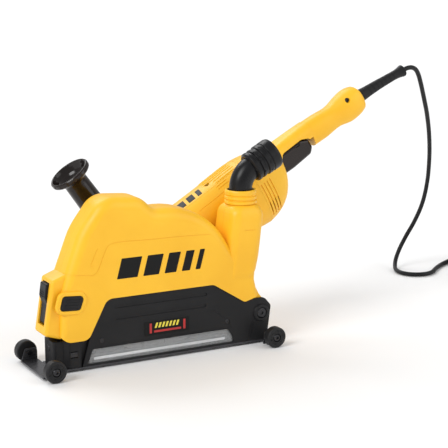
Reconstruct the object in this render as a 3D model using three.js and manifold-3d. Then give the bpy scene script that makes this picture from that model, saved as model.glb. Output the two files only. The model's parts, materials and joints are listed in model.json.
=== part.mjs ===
// Wall chaser: a 230 mm angle grinder clamped in a plunging dust-extraction hood on a wheeled shoe.
// Millimetres, +Z up. +X runs from the nose to the rear handle, -Y is the side with the cover panel.
import * as THREE from 'three';
import { mergeVertices } from 'three/addons/utils/BufferGeometryUtils.js';
import Module from 'manifold-3d';

const wasm = await Module();
wasm.setup();

// ---------------------------------------------------------------- driving dimensions
const GAP = 0.3;                       // between faces that touch
const WHEEL = { radius: 17.5, width: 15, base: 394, inner: 56.5 };
const SHOE = { half: 31, wall: 3, low: 3, plate: 3 };
const HOOD = { half: 34, wall: 2.7, edge: 10 };
const NOSE = { half: 24, wall: 2.5 };
const PIVOT = { x: 386, z: 53, pin: 5 };
const DISC = { radius: 115, thick: 3, bore: 11.1 };
const NECK = { x: 363, radius: 26.5, bore: 22, low: 240, high: 262 };
const OUTLET_PITCH = 28;               // degrees above level
const TOOL = { x: 205, y: 90, z: 120, pitch: 31 };
const GRIP_LEAN = 5;                   // degrees, side grip
const GRIP_AT = 8.5;                   // along the motor from the spindle
const CORD = { radius: 4.25 };
const BODY_CENTRE = { x: 371, y: 38 };   // middle of the machine's length and width

const rad = THREE.MathUtils.degToRad;

// ---------------------------------------------------------------- materials
function finish(color, roughness, metalness = 0, opacity = 1) {
  return new THREE.MeshStandardMaterial({ color, roughness, metalness, opacity, transparent: opacity < 1 });
}
const YELLOW = finish(0xf5b81e, 0.45);
const BLACK = finish(0x26272a, 0.6);
const GRIP = finish(0x241f1e, 0.35);
const RUBBER = finish(0x1c1c1d, 0.7);
const CLEAR = finish(0xdfe6ea, 0.1, 0, 0.35);
const STEEL = finish(0x9a9ca0, 0.35, 1);
const ALLOY = finish(0xa8aaad, 0.5, 0.8);
const COPPER = finish(0xb8732f, 0.4, 0.8);
const ABRASIVE = finish(0x6f7276, 0.6, 0.3);

// ---------------------------------------------------------------- geometry helpers
// A closed geometry as a manifold solid: shared corners merged and empty triangles dropped.
function solid(geometry) {
  const bare = geometry.clone();
  bare.deleteAttribute('normal');
  bare.deleteAttribute('uv');
  const merged = mergeVertices(bare, 1e-3);
  const index = merged.getIndex().array;
  const kept = [];
  for (let i = 0; i < index.length; i += 3) {
    const [a, b, c] = [index[i], index[i + 1], index[i + 2]];
    if (a !== b && b !== c && c !== a) kept.push(a, b, c);
  }
  const mesh = new wasm.Mesh({
    numProp: 3,
    vertProperties: Float32Array.from(merged.getAttribute('position').array),
    triVerts: Uint32Array.from(kept),
  });
  mesh.merge();
  return new wasm.Manifold(mesh);
}

// The biggest body of a cut solid, without the empty slivers a cut can leave on curved faces.
function largest(manifold) {
  return manifold.decompose().reduce((a, b) => (b.volume() > a.volume() ? b : a));
}

function geometryOf(manifold) {
  const { vertProperties, triVerts } = manifold.getMesh();
  const geometry = new THREE.BufferGeometry();
  geometry.setAttribute('position', new THREE.BufferAttribute(Float32Array.from(vertProperties), 3));
  geometry.setIndex(Array.from(triVerts));
  geometry.computeVertexNormals();
  return geometry;
}

// Points of a closed outline with rounded corners. A corner is [a, b, radius]; inset moves every
// edge inwards, and keeps the number of points, so two insets of one outline can be lofted.
function outline(corners, inset = 0, arcStep = 28) {
  const count = corners.length;
  const at = (i) => corners[(i + count) % count];
  let area = 0;
  for (let i = 0; i < count; i += 1) area += at(i)[0] * at(i + 1)[1] - at(i + 1)[0] * at(i)[1];
  const turn = Math.sign(area);
  const points = [];
  for (let i = 0; i < count; i += 1) {
    const here = new THREE.Vector2(at(i)[0], at(i)[1]);
    const into = here.clone().sub(new THREE.Vector2(at(i - 1)[0], at(i - 1)[1])).normalize();
    const away = new THREE.Vector2(at(i + 1)[0], at(i + 1)[1]).sub(here).normalize();
    const normalIn = new THREE.Vector2(-into.y, into.x).multiplyScalar(turn);
    const normalOut = new THREE.Vector2(-away.y, away.x).multiplyScalar(turn);
    const bend = Math.atan2(into.cross(away), into.dot(away)) * turn;
    const side = bend >= 0 ? 1 : -1;
    const mitre = normalIn.clone().add(normalOut).divideScalar(1 + normalIn.dot(normalOut));
    const radius = (at(i)[2] ?? 0) - side * inset;
    const steps = Math.max(1, Math.ceil(Math.abs(bend) / rad(arcStep)));
    const centre = here.clone().addScaledVector(mitre, side * (at(i)[2] ?? 0));
    for (let k = 0; k <= steps; k += 1) {
      if (radius <= 0.05) {
        points.push(here.clone().addScaledVector(mitre, inset));
      } else {
        const swing = (bend * turn * k) / steps;
        const normal = normalIn.clone().rotateAround(new THREE.Vector2(), swing);
        points.push(centre.clone().addScaledVector(normal, -side * radius));
      }
    }
  }
  return points;
}

// A closed solid through rings of equal point counts; its two end rings are flat caps.
function loft(rings, flatten) {
  const size = rings[0].length;
  const position = rings.flat().flatMap((p) => [p.x, p.y, p.z]);
  const index = [];
  for (let r = 0; r + 1 < rings.length; r += 1) {
    for (let i = 0; i < size; i += 1) {
      const a = r * size + i;
      const b = r * size + ((i + 1) % size);
      index.push(a, b, a + size, b, b + size, a + size);
    }
  }
  const last = (rings.length - 1) * size;
  const cap = (ring, base, flip) => {
    const faces = THREE.ShapeUtils.triangulateShape(ring.map(flatten), []);
    for (const [a, b, c] of faces) {
      if (flip) index.push(base + a, base + c, base + b);
      else index.push(base + a, base + b, base + c);
    }
  };
  // the side quads run with the ring, so the first cap runs against it and the last with it
  const orientation = THREE.ShapeUtils.area(rings[0].map(flatten)) > 0;
  cap(rings[0], 0, orientation);
  cap(rings[rings.length - 1], last, !orientation);
  if (!orientation) {
    for (let i = 0; i < index.length; i += 3) [index[i], index[i + 1]] = [index[i + 1], index[i]];
  }
  const geometry = new THREE.BufferGeometry();
  geometry.setAttribute('position', new THREE.BufferAttribute(new Float32Array(position), 3));
  geometry.setIndex(index);
  const made = solid(geometry);
  if (made.volume() > 0) return made;
  for (let i = 0; i < index.length; i += 3) [index[i], index[i + 1]] = [index[i + 1], index[i]];
  geometry.setIndex(index);
  return solid(geometry);
}

const flatXZ = (p) => new THREE.Vector2(p.x, p.z);
const flatXY = (p) => new THREE.Vector2(p.x, p.y);
const flatYZ = (p) => new THREE.Vector2(p.y, p.z);

// An outline in the XZ plane made thick from y0 to y1, with its rims rounded by edge.
function slab(corners, y0, y1, edge = 0, inset = 0) {
  const levels = edge > 3 ? [0, 45, 90] : edge > 0 ? [0, 90] : [90];
  const rings = [];
  const ring = (y, depth) => outline(corners, depth).map((p) => new THREE.Vector3(p.x, y, p.y));
  const out = (a) => edge * (1 - Math.cos(rad(a)));
  const down = (a) => inset + edge * (1 - Math.sin(rad(a)));
  for (const a of levels) rings.push(ring(y0 + out(a), down(a)));
  for (const a of [...levels].reverse()) rings.push(ring(y1 - out(a), down(a)));
  return loft(rings, flatXZ);
}

// An outline in the XY plane made tall from z0 to z1.
function block(corners, z0, z1) {
  const ring = (z) => outline(corners).map((p) => new THREE.Vector3(p.x, p.y, z));
  return loft([ring(z0), ring(z1)], flatXY);
}

function box(x0, x1, y0, y1, z0, z1) {
  const geometry = new THREE.BoxGeometry(x1 - x0, y1 - y0, z1 - z0);
  return solid(geometry.translate((x0 + x1) / 2, (y0 + y1) / 2, (z0 + z1) / 2));
}

// A profile of [radius, height] turned about an axis: 'y' as it is, 'x' or 'z' laid over.
function turned(profile, axis = 'y', sides = 24, x = 0, y = 0, z = 0) {
  const geometry = new THREE.LatheGeometry(profile.map(([r, h]) => new THREE.Vector2(r, h)), sides);
  if (axis === 'x') geometry.rotateZ(-Math.PI / 2);
  if (axis === 'z') geometry.rotateX(Math.PI / 2);
  return solid(geometry.translate(x, y, z));
}

const rod = (r, h0, h1) => [[0, h0], [r, h0], [r, h1], [0, h1]];
const ring = (r0, r1, h0, h1) => [[r0, h0], [r1, h0], [r1, h1], [r0, h1], [r0, h0]];

// A closed tube with a flat-sided section along a smooth curve through points.
function cordTube(points, radius, sides, steps) {
  const section = new THREE.Shape();
  for (let i = 0; i < sides; i += 1) {
    const a = (2 * Math.PI * i) / sides;
    if (i === 0) section.moveTo(radius * Math.cos(a), radius * Math.sin(a));
    else section.lineTo(radius * Math.cos(a), radius * Math.sin(a));
  }
  section.closePath();
  const path = new THREE.CatmullRomCurve3(points.map((p) => new THREE.Vector3(...p)));
  return new THREE.ExtrudeGeometry(section, { steps, extrudePath: path, bevelEnabled: false });
}

const machine = new THREE.Group();
machine.position.set(-BODY_CENTRE.x, -BODY_CENTRE.y, 0);
const tool = new THREE.Group();
tool.position.set(TOOL.x, TOOL.y, TOOL.z);
tool.rotation.y = -rad(TOOL.pitch);
machine.add(tool);

function add(name, shape, material, parent = machine) {
  const geometry = shape.isBufferGeometry ? shape : geometryOf(shape);
  const mesh = new THREE.Mesh(geometry, material);
  mesh.name = name;
  parent.add(mesh);
  return mesh;
}

// ---------------------------------------------------------------- shoe
const PLATE_TOP = SHOE.low + SHOE.plate;
const FLOOR_OF_SHOE = PLATE_TOP + GAP;

function basePlate() {
  const plate = block([[15, -31, 4], [391, -31, 2], [391, 31, 2], [15, 31, 4]], SHOE.low, PLATE_TOP);
  return plate.subtract(block([[112, -8, 7], [290, -8, 7], [290, 8, 7], [112, 8, 7]], 0, 10));
}

// A cross plate with an upright ear at each end that carries a wheel.
function wheelBracket(axleX, plateX0, plateX1, earX0, earX1, slope) {
  const reach = 50;
  const thick = 2.5;
  let bracket = box(plateX0, plateX1, -reach, reach, SHOE.low, PLATE_TOP);
  const ear = [[earX0, SHOE.low, 1], [earX1, SHOE.low, 1], [earX1, 25, 5], [earX0 + slope, 25, 4]];
  for (const side of [-1, 1]) {
    const outer = side * reach;
    const inner = side * (reach - thick);
    bracket = bracket.add(slab(ear, Math.min(outer, inner), Math.max(outer, inner)));
  }
  return bracket.subtract(turned(rod(4.3, -60, 60), 'y', 20, axleX, 0, WHEEL.radius));
}

const PANEL = [
  [60, 6.3, 1], [72, 48, 6], [94, 110, 12], [112, 124, 10], [300, 124, 10], [352, 94, 10], [366, 79, 6],
  [392, 79, 12], [405, 64, 8], [399, 20, 8], [392, 6.3, 1],
];
const PANEL_SCREWS = [[94, 45], [321, 46]];
const WINDOW = [[69, 9.5, 1], [78, 33, 1], [322, 33, 2], [331, 20, 5], [333, 9.5, 1]];

function coverPanel() {
  let panel = slab(PANEL, -SHOE.half, -SHOE.half + SHOE.wall, 0);
  panel = panel.subtract(slab(WINDOW, -40, -20));
  panel = panel.add(turned(ring(9.4, 14, -34.5, -30.5), 'y', 32, PIVOT.x, 0, PIVOT.z));
  panel = panel.subtract(turned(rod(PIVOT.pin + GAP, -40, -20), 'y', 24, PIVOT.x, 0, PIVOT.z));
  for (const [x, z] of PANEL_SCREWS) {
    const hole = [[0, -40], [4.6, -40], [4.6, -29.8], [2.5, -29.8], [2.5, -20], [0, -20]];
    panel = panel.subtract(turned(hole, 'y', 12, x, 0, z));
  }
  return panel;
}

const WINDOW_PANE = [[64, 6.6, 1], [75, 38, 1], [325, 38, 2], [337, 22, 4], [338, 6.6, 1]];

function farPanel() {
  const wall = [
    [39, 6.3, 1], [39, 45, 3], [70, 60, 4], [340, 60, 6], [366, 79, 6], [392, 79, 12], [405, 64, 8],
    [399, 20, 8], [392, 6.3, 1],
  ];
  const panel = slab(wall, SHOE.half - SHOE.wall, SHOE.half);
  return panel.subtract(turned(rod(PIVOT.pin + GAP, 20, 40), 'y', 24, PIVOT.x, 0, PIVOT.z));
}

function frontBlock() {
  const nose = NOSE.half - NOSE.wall - 0.8;
  const plan = [[15, -nose, 5], [32, -nose, 2], [39, -30.9, 5], [57, -30.9, 1], [57, 27.6, 1], [39, 27.6, 2],
    [32, nose, 2], [15, nose, 5]];
  const pocket = box(40, 52, -40, -26, 23, 34);
  return block(plan, FLOOR_OF_SHOE, 50).subtract(pocket);
}

function axleBolt(side) {
  const out = (y) => side * y;
  const profile = [[0, 45], [4, 45], [4, 67.8], [6.5, 67.8], [6.5, 71], [5, 72], [0, 72]];
  const points = profile.map(([r, y]) => [r, out(y)]);
  return side > 0 ? points : points.reverse();
}

function wheelProfile(side) {
  const w0 = WHEEL.inner;
  const w1 = WHEEL.inner + WHEEL.width;
  const r = WHEEL.radius;
  const profile = [
    [4.4, w0], [r - 1.5, w0], [r, w0 + 1.5], [r, w1 - 1.5], [r - 1.5, w1], [r - 4, w1], [r - 5, w1 - 1.5],
    [9, w1 - 1.5], [8, w1], [7.2, w1], [7.2, w1 - 4.2], [4.4, w1 - 4.2], [4.4, w0],
  ];
  const points = profile.map(([radius, y]) => [radius, side * y]);
  return side > 0 ? points : points.reverse();
}

function torsionSpring() {
  const turns = 6;
  const pitch = 4.6;
  const points = [];
  const perTurn = 10;
  for (let i = 0; i <= turns * perTurn; i += 1) {
    const a = (2 * Math.PI * i) / perTurn;
    points.push([PIVOT.x + 9 * Math.cos(a), -14 + (pitch * i) / perTurn, PIVOT.z + 9 * Math.sin(a)]);
  }
  return cordTube(points, 1.1, 4, turns * perTurn);
}

function buildShoe() {
  add('base_plate', basePlate(), STEEL);
  add('front_bracket', wheelBracket(0, -14, 14.7, -14, 14, 7), STEEL);
  add('rear_bracket', wheelBracket(WHEEL.base, 391.3, 408, 380, 408, 3), STEEL);
  add('cover_panel', coverPanel(), BLACK);
  add('window_pane', slab(WINDOW_PANE, -SHOE.half + SHOE.wall + GAP, -25.9), CLEAR);
  add('far_panel', farPanel(), BLACK);
  add('front_block', frontBlock(), BLACK);
  add('rear_block', box(342, 374, -25.5, 27.6, FLOOR_OF_SHOE, 30), BLACK);
  const pin = [[0, -34.2], [8.8, -34.2], [8.8, -31.3], [PIVOT.pin, -31.3], [PIVOT.pin, 38], [0, 38]];
  add('pivot_pin', turned(pin, 'y', 24, PIVOT.x, 0, PIVOT.z), STEEL);
  const nut = turned(rod(9, 31.3, 37), 'y', 6, PIVOT.x, 0, PIVOT.z);
  const thread = turned(rod(PIVOT.pin + GAP, 20, 40), 'y', 20, PIVOT.x, 0, PIVOT.z);
  add('pivot_nut', nut.subtract(thread), STEEL);
  add('return_spring', torsionSpring(), STEEL);
  const screw = [[0, -31.2], [4.2, -31.2], [4.2, -30.1], [2.2, -30.1], [2.2, -23], [0, -23]];
  ['front', 'rear'].forEach((place, i) => {
    add(`panel_screw_${place}`, turned(screw, 'y', 12, PANEL_SCREWS[i][0], 0, PANEL_SCREWS[i][1]), STEEL);
  });
  for (const [place, x] of [['front', 0], ['rear', WHEEL.base]]) {
    for (const [hand, side] of [['near', -1], ['far', 1]]) {
      add(`wheel_${place}_${hand}`, turned(wheelProfile(side), 'y', 20, x, 0, WHEEL.radius), BLACK);
      add(`axle_bolt_${place}_${hand}`, turned(axleBolt(side), 'y', 12, x, 0, WHEEL.radius), STEEL);
    }
  }
}

// ---------------------------------------------------------------- hood
// Side outline of the hood from the front lobe round the crown to the rear; the disc cover's rim
// is an arc about the spindle.
const CROWN = [
  [27, 122, 60], [40, 156, 40], [97, 277, 18], [166, 271, 30], [191, 251, 12], [283.5, 251, 134],
  [338, 157, 12], [378, 142, 10], [374, 113, 20],
  [383, 80, 0],
];
const SKIRT_REAR = [[460, 400, 0], [460, 84, 0], [382, 84, 5], [353, 76, 9]];
const SKIRT_FRONT = [[20.5, 50, 20], [26, 115, 0], [-60, 160, 0], [-60, 400, 0]];
const NEAR_SKIRT = [...SKIRT_REAR, [294, 113, 18], [103, 113, 16], [70, 50, 15], ...SKIRT_FRONT];
const FAR_SKIRT = [...SKIRT_REAR, [330, 56, 9], [92, 56, 4], [70, 50, 6], ...SKIRT_FRONT];
const OPEN_SKIRT = [[384, -60, 1], [21, -60, 1]];
const NOSE_SIDE = [[0.7, 62, 5], [15.3, 152, 8], [44, 164, 4], [60, 164, 2], [40, 62, 2]];
const NOSE_HOLLOW = [[-4.2, -60, 1], [1.3, 62, 1], [15.3, 152, 6], [44, 164, 2], [60, 150, 1], [40, -60, 1]];

function ductRings(inset) {
  const half = HOOD.half - inset;
  const levels = [
    [100, 316, 372, 0], [113, 318, 374, 0], [150, 322, 384, 0], [190, 327, 389, 0], [226, 331, 393, 0],
    [234, 332, 392, 3], [239, 337, 387, 9],
  ];
  return levels.map(([height, x0, x1, shrink]) => {
    const z = height > 230 ? height - inset : height;
    const h = half - shrink;
    const corner = 18;
    const plan = [[x0 + inset, -h, corner], [x1 - inset, -h, corner], [x1 - inset, h, corner],
      [x0 + inset, h, corner]];
    return outline(plan, 0, 45).map((p) => new THREE.Vector3(p.x, p.y, z));
  });
}

function hoodShell(skirt) {
  let shell = slab([...CROWN, ...OPEN_SKIRT], -HOOD.half, HOOD.half, HOOD.edge);
  shell = shell.intersect(slab(skirt, -HOOD.half - 5, HOOD.half + 5));
  shell = shell.add(loft(ductRings(0), flatXY));
  shell = shell.add(slab(NOSE_SIDE, -NOSE.half, NOSE.half, 3));
  shell = shell.subtract(slab([...CROWN, ...OPEN_SKIRT], -HOOD.half + HOOD.wall, HOOD.half - HOOD.wall,
    HOOD.edge - HOOD.wall, HOOD.wall));
  shell = shell.subtract(loft(ductRings(HOOD.wall), flatXY));
  shell = shell.subtract(slab(NOSE_HOLLOW, -NOSE.half + NOSE.wall, NOSE.half - NOSE.wall, 0, NOSE.wall));
  return shell.subtract(turned(rod(23.5, 230, 250), 'z', 32, NECK.x, 0, 0));
}

// A tongue inside the hood that hangs on the pivot pin.
function pivotLug(y0, y1) {
  const side = [[373, 40, 12], [399, 40, 12], [399, 66, 12], [383, 86, 4], [376, 100, 2], [373, 118, 2],
    [360, 118, 2], [364, 88, 8]];
  return slab(side, y0, y1);
}

const BUTTON = [[21, 104, 4], [27, 127, 4], [63, 124, 5], [55, 102, 4]];

// Joins lugs and bosses to a shell, then keeps the part of it on one side of the middle plane.
function hoodNear() {
  let shell = hoodShell(NEAR_SKIRT).add(pivotLug(-27.5, -22));
  shell = shell.add(slab(BUTTON, -36.5, -29, 1.5, -7));
  shell = shell.subtract(slab(BUTTON, -45, -20, 0, -0.5));
  return trimHood(shell, -60, -GAP / 2);
}

function hoodFar() {
  const shell = hoodShell(FAR_SKIRT).add(pivotLug(22, 27.5));
  return trimHood(shell.subtract(turned(rod(33, 20, 45), 'y', 48, TOOL.x, 0, TOOL.z)), GAP / 2, 60);
}

function trimHood(shell, y0, y1) {
  const slot = slab([[-6, 76, 1], [5, 145, 1], [19, 145, 1], [10, 76, 1]], -11.3, 11.3);
  const pinHole = turned(rod(PIVOT.pin + GAP, -60, 60), 'y', 24, PIVOT.x, 0, PIVOT.z);
  const half = box(-40, 440, y0, y1, 0, 320);
  return largest(shell.subtract(slot).subtract(pinHole).intersect(half));
}

function leverShape() {
  const side = [[5.6, 79, 2], [13.2, 79, 2], [18.5, 140, 2], [18.6, 143.5, 1], [9, 143.5, 3], [6, 122, 6],
    [10.2, 110, 4]];
  return slab(side, -10.7, 10.7, 1.2).subtract(turned(rod(2.3, -20, 20), 'y', 12, 9.6, 0, 83));
}

function dustNeck() {
  const { radius: r, bore, low, high } = NECK;
  const profile = [
    [bore, low], [r, low], [r, low + 4], [r - 1.5, low + 5.5], [r, low + 7], [r, low + 10],
    [r - 1.5, low + 11.5], [r, low + 13], [r, high - 1], [r - 1, high], [bore, high], [bore, low],
  ];
  return turned(profile, 'z', 24, NECK.x, 0, 0);
}

// The elbow's centre line: upright out of the neck, then an arc towards the rear.
const ELBOW = { radius: 19.4, wall: 2.8, bend: 40, start: 262 };
const outletDirection = new THREE.Vector3(Math.cos(rad(OUTLET_PITCH)), 0, Math.sin(rad(OUTLET_PITCH)));
const elbowCentre = new THREE.Vector3(NECK.x + ELBOW.bend, 0, ELBOW.start);
const outletStart = new THREE.Vector3(
  elbowCentre.x - ELBOW.bend * Math.sin(rad(OUTLET_PITCH)), 0,
  elbowCentre.z + ELBOW.bend * Math.cos(rad(OUTLET_PITCH)));

function elbowRings(radius, low, extra) {
  const rings = [];
  const circle = (centre, lean) => {
    const across = new THREE.Vector3(Math.cos(lean), 0, -Math.sin(lean));
    const points = [];
    for (let i = 0; i < 18; i += 1) {
      const a = (2 * Math.PI * i) / 18;
      points.push(centre.clone().addScaledVector(across, radius * Math.cos(a))
        .add(new THREE.Vector3(0, radius * Math.sin(a), 0)));
    }
    return points;
  };
  rings.push(circle(new THREE.Vector3(NECK.x, 0, low), 0));
  const turn = 90 - OUTLET_PITCH;
  for (let k = 0; k <= 6; k += 1) {
    const a = rad((turn * k) / 6);
    const centre = new THREE.Vector3(elbowCentre.x - ELBOW.bend * Math.cos(a), 0,
      elbowCentre.z + ELBOW.bend * Math.sin(a));
    rings.push(circle(centre, a));
  }
  rings.push(circle(outletStart.clone().addScaledVector(outletDirection, extra), rad(turn)));
  return rings;
}

// A profile turned about the outlet axis, with heights measured from the start of the outlet.
function outletSolid(profile, sides = 20) {
  const geometry = new THREE.LatheGeometry(profile.map(([r, h]) => new THREE.Vector2(r, h)), sides);
  geometry.rotateZ(-Math.PI / 2).rotateY(-rad(OUTLET_PITCH));
  return solid(geometry.translate(outletStart.x, 0, outletStart.z));
}

function elbowTube() {
  const outer = loft(elbowRings(ELBOW.radius, 241, 12), flatXY);
  const collar = outletSolid(ring(17, 26, -4, 13.5));
  const bore = loft(elbowRings(ELBOW.radius - ELBOW.wall, 230, 30), flatXY);
  return outer.add(collar).subtract(bore);
}

function hoseLock() {
  const profile = [
    [19, 14], [24.6, 14], [24.6, 18], [27, 19], [27, 44], [25.6, 47], [22, 47], [22, 20], [19, 20], [19, 14],
  ];
  return outletSolid(profile);
}

function buildHood() {
  add('hood_near', hoodNear(), YELLOW);
  add('hood_far', hoodFar(), YELLOW);
  add('dust_neck', dustNeck(), YELLOW);
  add('elbow_tube', elbowTube(), BLACK);
  add('hose_lock', hoseLock(), BLACK);
  add('front_lever', leverShape(), BLACK);
  add('lever_pin', turned(rod(2, -21.2, 21.2), 'y', 12, 9.6, 0, 83), STEEL);
  add('plunge_button', slab(BUTTON, -38, -27, 1.2), BLACK);
}

// ---------------------------------------------------------------- gear head, in the tool's own frame
// X runs along the motor shaft, Y along the spindle away from the disc, Z towards the side handle.
const HEAD = { noseRadius: 31.5, noseEnd: -62 };

function gearcase() {
  const outer = [[0, -48], [20, -47], [33, -42], [43, -30], [48, -8], [48, 52], [0, 52]];
  const inner = [[0, -40], [16, -39], [28, -35], [36, -24], [39, -6], [40, 60], [0, 60]];
  let body = turned(outer, 'x', 28);
  body = body.add(turned(rod(HEAD.noseRadius, HEAD.noseEnd, -20), 'y', 28));
  body = body.add(turned(rod(15, 30, 60), 'z', 24, GRIP_AT, 0, 0));
  body = body.subtract(turned(inner, 'x', 24));
  body = body.subtract(turned(rod(36.5, -27, 0), 'y', 30));
  body = body.add(turned(rod(14, 20, 44), 'y', 24));
  body = body.subtract(turned(rod(10.3, 10, 36), 'y', 24));
  body = body.subtract(turned(rod(20.6, -70, -26), 'y', 28));
  body = body.subtract(turned(rod(6.3, 40, 70), 'z', 16, GRIP_AT, 0, 0));
  return body.subtract(turned(rod(3.3, 30, 60), 'y', 12, 24, 0, -14));
}

function spindleShape() {
  return turned([[0, -98], [7, -98], [7, -80], [8, -79], [8, 20], [6, 21], [6, 34], [0, 34]], 'y', 24);
}

// A bevel wheel with raised teeth on its face.
function crownGear() {
  const teeth = 37;
  let wheel = turned([[8.2, -26], [34, -26], [35, -14], [18, -9.5], [8.2, -9.5], [8.2, -26]], 'y', 24);
  for (let i = 0; i < teeth; i += 1) {
    const tooth = new THREE.BoxGeometry(15, 2.2, 1.7);
    tooth.rotateZ(rad(-14.5)).translate(26.5, -11.6, 0).rotateY((2 * Math.PI * i) / teeth);
    wheel = wheel.add(solid(tooth));
  }
  return wheel;
}

function pinionShape() {
  const teeth = 11;
  let pinion = turned([[5.3, 18], [6, 18], [8.6, 34], [8.6, 38], [5.3, 38], [5.3, 18]], 'x', 22);
  for (let i = 0; i < teeth; i += 1) {
    const tooth = new THREE.BoxGeometry(15, 1.6, 1.3);
    tooth.rotateZ(rad(9.2)).translate(26.5, 7.4, 0).rotateX((2 * Math.PI * i) / teeth);
    pinion = pinion.add(solid(tooth));
  }
  return pinion;
}

function spindleLock() {
  const profile = [[0, 36], [3, 36], [3, 50.5], [8, 51.5], [8, 56.5], [7, 58], [0, 58]];
  return turned(profile, 'y', 20, 24, 0, -14);
}

function buildHead() {
  add('gearcase', gearcase(), ALLOY, tool);
  add('bearing_cover', turned(ring(10, 31, -67, -62.3), 'y', 28), ALLOY, tool);
  add('spindle_bearing', turned(ring(8.3, 20, -58, -46), 'y', 28), STEEL, tool);
  add('needle_bearing', turned(ring(6.3, 10, 23, 33), 'y', 20), STEEL, tool);
  add('clamp_ring', turned(ring(32.2, 40, -54.5, -49), 'y', 32), ALLOY, tool);
  add('spindle', spindleShape(), STEEL, tool);
  add('crown_gear', crownGear(), STEEL, tool);
  add('inner_flange', turned(ring(7.3, 22, -88.2, -82), 'y', 20), STEEL, tool);
  add('cutting_disc', turned(ring(DISC.bore, DISC.radius, -91.5, -88.5), 'y', 48), ABRASIVE, tool);
  add('clamp_nut', turned(ring(7.3, 21, -99, -91.8), 'y', 20), STEEL, tool);
  add('spindle_lock_button', spindleLock(), GRIP, tool);
}

// ---------------------------------------------------------------- motor
function armatureShape() {
  const profile = [
    [0, 19], [5, 19], [5, 63], [7, 64], [7, 108], [26, 108], [26, 190], [12, 192], [12, 206], [17, 207],
    [17, 234], [7, 235], [7, 243], [5, 244], [5, 256], [0, 256],
  ];
  return turned(profile, 'x', 20);
}

function fanShape() {
  let fan = turned(ring(7.3, 41, 70, 73), 'x', 24);
  for (let i = 0; i < 10; i += 1) {
    const blade = new THREE.BoxGeometry(10, 26, 2).translate(77, 26, 0);
    fan = fan.add(solid(blade.rotateX((2 * Math.PI * i) / 10)));
  }
  return fan;
}

function statorShape() {
  let stator = turned(ring(33.5, 42, 106, 192), 'x', 24);
  for (const side of [-1, 1]) {
    stator = stator.add(box(106, 192, -14, 14, Math.min(side * 27, side * 36), Math.max(side * 27, side * 36)));
  }
  return stator.subtract(turned(rod(27, 90, 210), 'x', 24));
}

// Sections of the motor housing: [station, top, bottom, half width].
const HOUSING = [[58.3, 46, -47, 47], [80, 46, -48, 48], [120, 46, -51, 48], [180, 46, -62, 48],
  [225, 47, -78, 49], [255, 47, -83, 50]];
const BELL = [[255.3, 47, -83, 50], [273, 44, -80, 49], [294, 38, -71, 46], [308, 34, -59, 41],
  [317, 31, -47, 36], [323, 29, -28, 30], [325, 28, -14, 27]];

function sectionRing([s, top, bottom, half], inset) {
  const sides = 22;
  const points = [];
  for (let i = 0; i < sides; i += 1) {
    const a = (2 * Math.PI * i) / sides;
    const up = Math.sin(a);
    const reach = up > 0 ? top - inset : -bottom - inset;
    const power = 0.85;
    points.push(new THREE.Vector3(s, (half - inset) * Math.sign(Math.cos(a)) * Math.abs(Math.cos(a)) ** power,
      reach * Math.sign(up) * Math.abs(up) ** power));
  }
  return points;
}

const sectionLoft = (sections, inset = 0) => loft(sections.map((s) => sectionRing(s, inset)), flatYZ);

function motorHousing() {
  const hollow = [[50, 46, -46, 46], ...HOUSING.slice(1, -1), [248, 47, -82, 50]];
  const tail = [[249, 47, -83, 50], [260, 47, -83, 50]];
  let housing = sectionLoft(HOUSING).subtract(sectionLoft(hollow, 3.2));
  housing = housing.subtract(turned(rod(16.2, 240, 260), 'x', 32));
  for (const a of [-1, 1]) housing = housing.subtract(box(251.5, 260, a * 30 - 9, a * 30 + 9, -12, 12));
  return housing.intersect(sectionLoft([[40, 80, -90, 60], ...tail.map((t) => t.map((v, i) => (i ? v * 1.1 : v)))]));
}

// ---------------------------------------------------------------- rear handle
const GRIP_SECTIONS = [[404, 24, -21, 21], [430, 23, -22.5, 21.5], [466, 20, -22, 21], [488, 26, -28, 24],
  [504, 27.5, -28, 25], [519, 25, -25, 23], [527, 18, -18, 17]];
const BEAM_SECTIONS = [[316, 27, 0.8, 26], [345, 25, 0.8, 22], [405, 24, 0.8, 21]];

function beamRing([s, top, bottom, half], inset = 0) {
  const plan = [[-half + inset, bottom], [half - inset, bottom], [half - inset, top - inset, 15],
    [-half + inset, top - inset, 15]];
  return outline(plan, 0, 20).map((p) => new THREE.Vector3(s, p.x, p.y));
}

function handleShell() {
  let shell = sectionLoft(BELL);
  shell = shell.add(loft(BEAM_SECTIONS.map((s) => beamRing(s)), flatYZ));
  shell = shell.add(sectionLoft(GRIP_SECTIONS));
  const bell = [[250, 47, -83, 50], ...BELL.slice(1, 5), [319, 29, -36, 33]];
  shell = shell.subtract(sectionLoft(bell, 3.4));
  shell = shell.subtract(box(300, 398, -15, 15, 4, 19));
  shell = shell.subtract(turned(rod(9, 390, 540), 'x', 20, 0, 0, -1));
  shell = shell.subtract(turned(rod(13.3, 512, 540), 'x', 24, 0, 0, -1));
  shell = shell.subtract(box(326, 402, -16, 16, -40, 6.5));
  return shell.subtract(box(326, 402, -30, 30, -40, 0.5));
}

function triggerShape() {
  const side = [[328, -18, 6], [345, -22, 10], [398, -28, 7], [400, 0, 8], [380, 1.2, 2], [328, 4.5, 2]];
  return slab(side, -15.4, 15.4, 5);
}

function strainRelief() {
  const stations = [[514, -1, 13], [518, -1, 13], [530, -1.5, 12], [545, -3, 10.5], [575, -6, 9.2],
    [605, -10, 8.4], [622, -12.5, 8.6], [629, -13.4, 11], [632, -13.8, 11]];
  const rings = stations.map(([s, n, r]) => {
    const points = [];
    for (let i = 0; i < 16; i += 1) {
      const a = (2 * Math.PI * i) / 16;
      points.push(new THREE.Vector3(s, r * Math.cos(a), n + r * Math.sin(a)));
    }
    return points;
  });
  return loft(rings, flatYZ);
}

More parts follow.
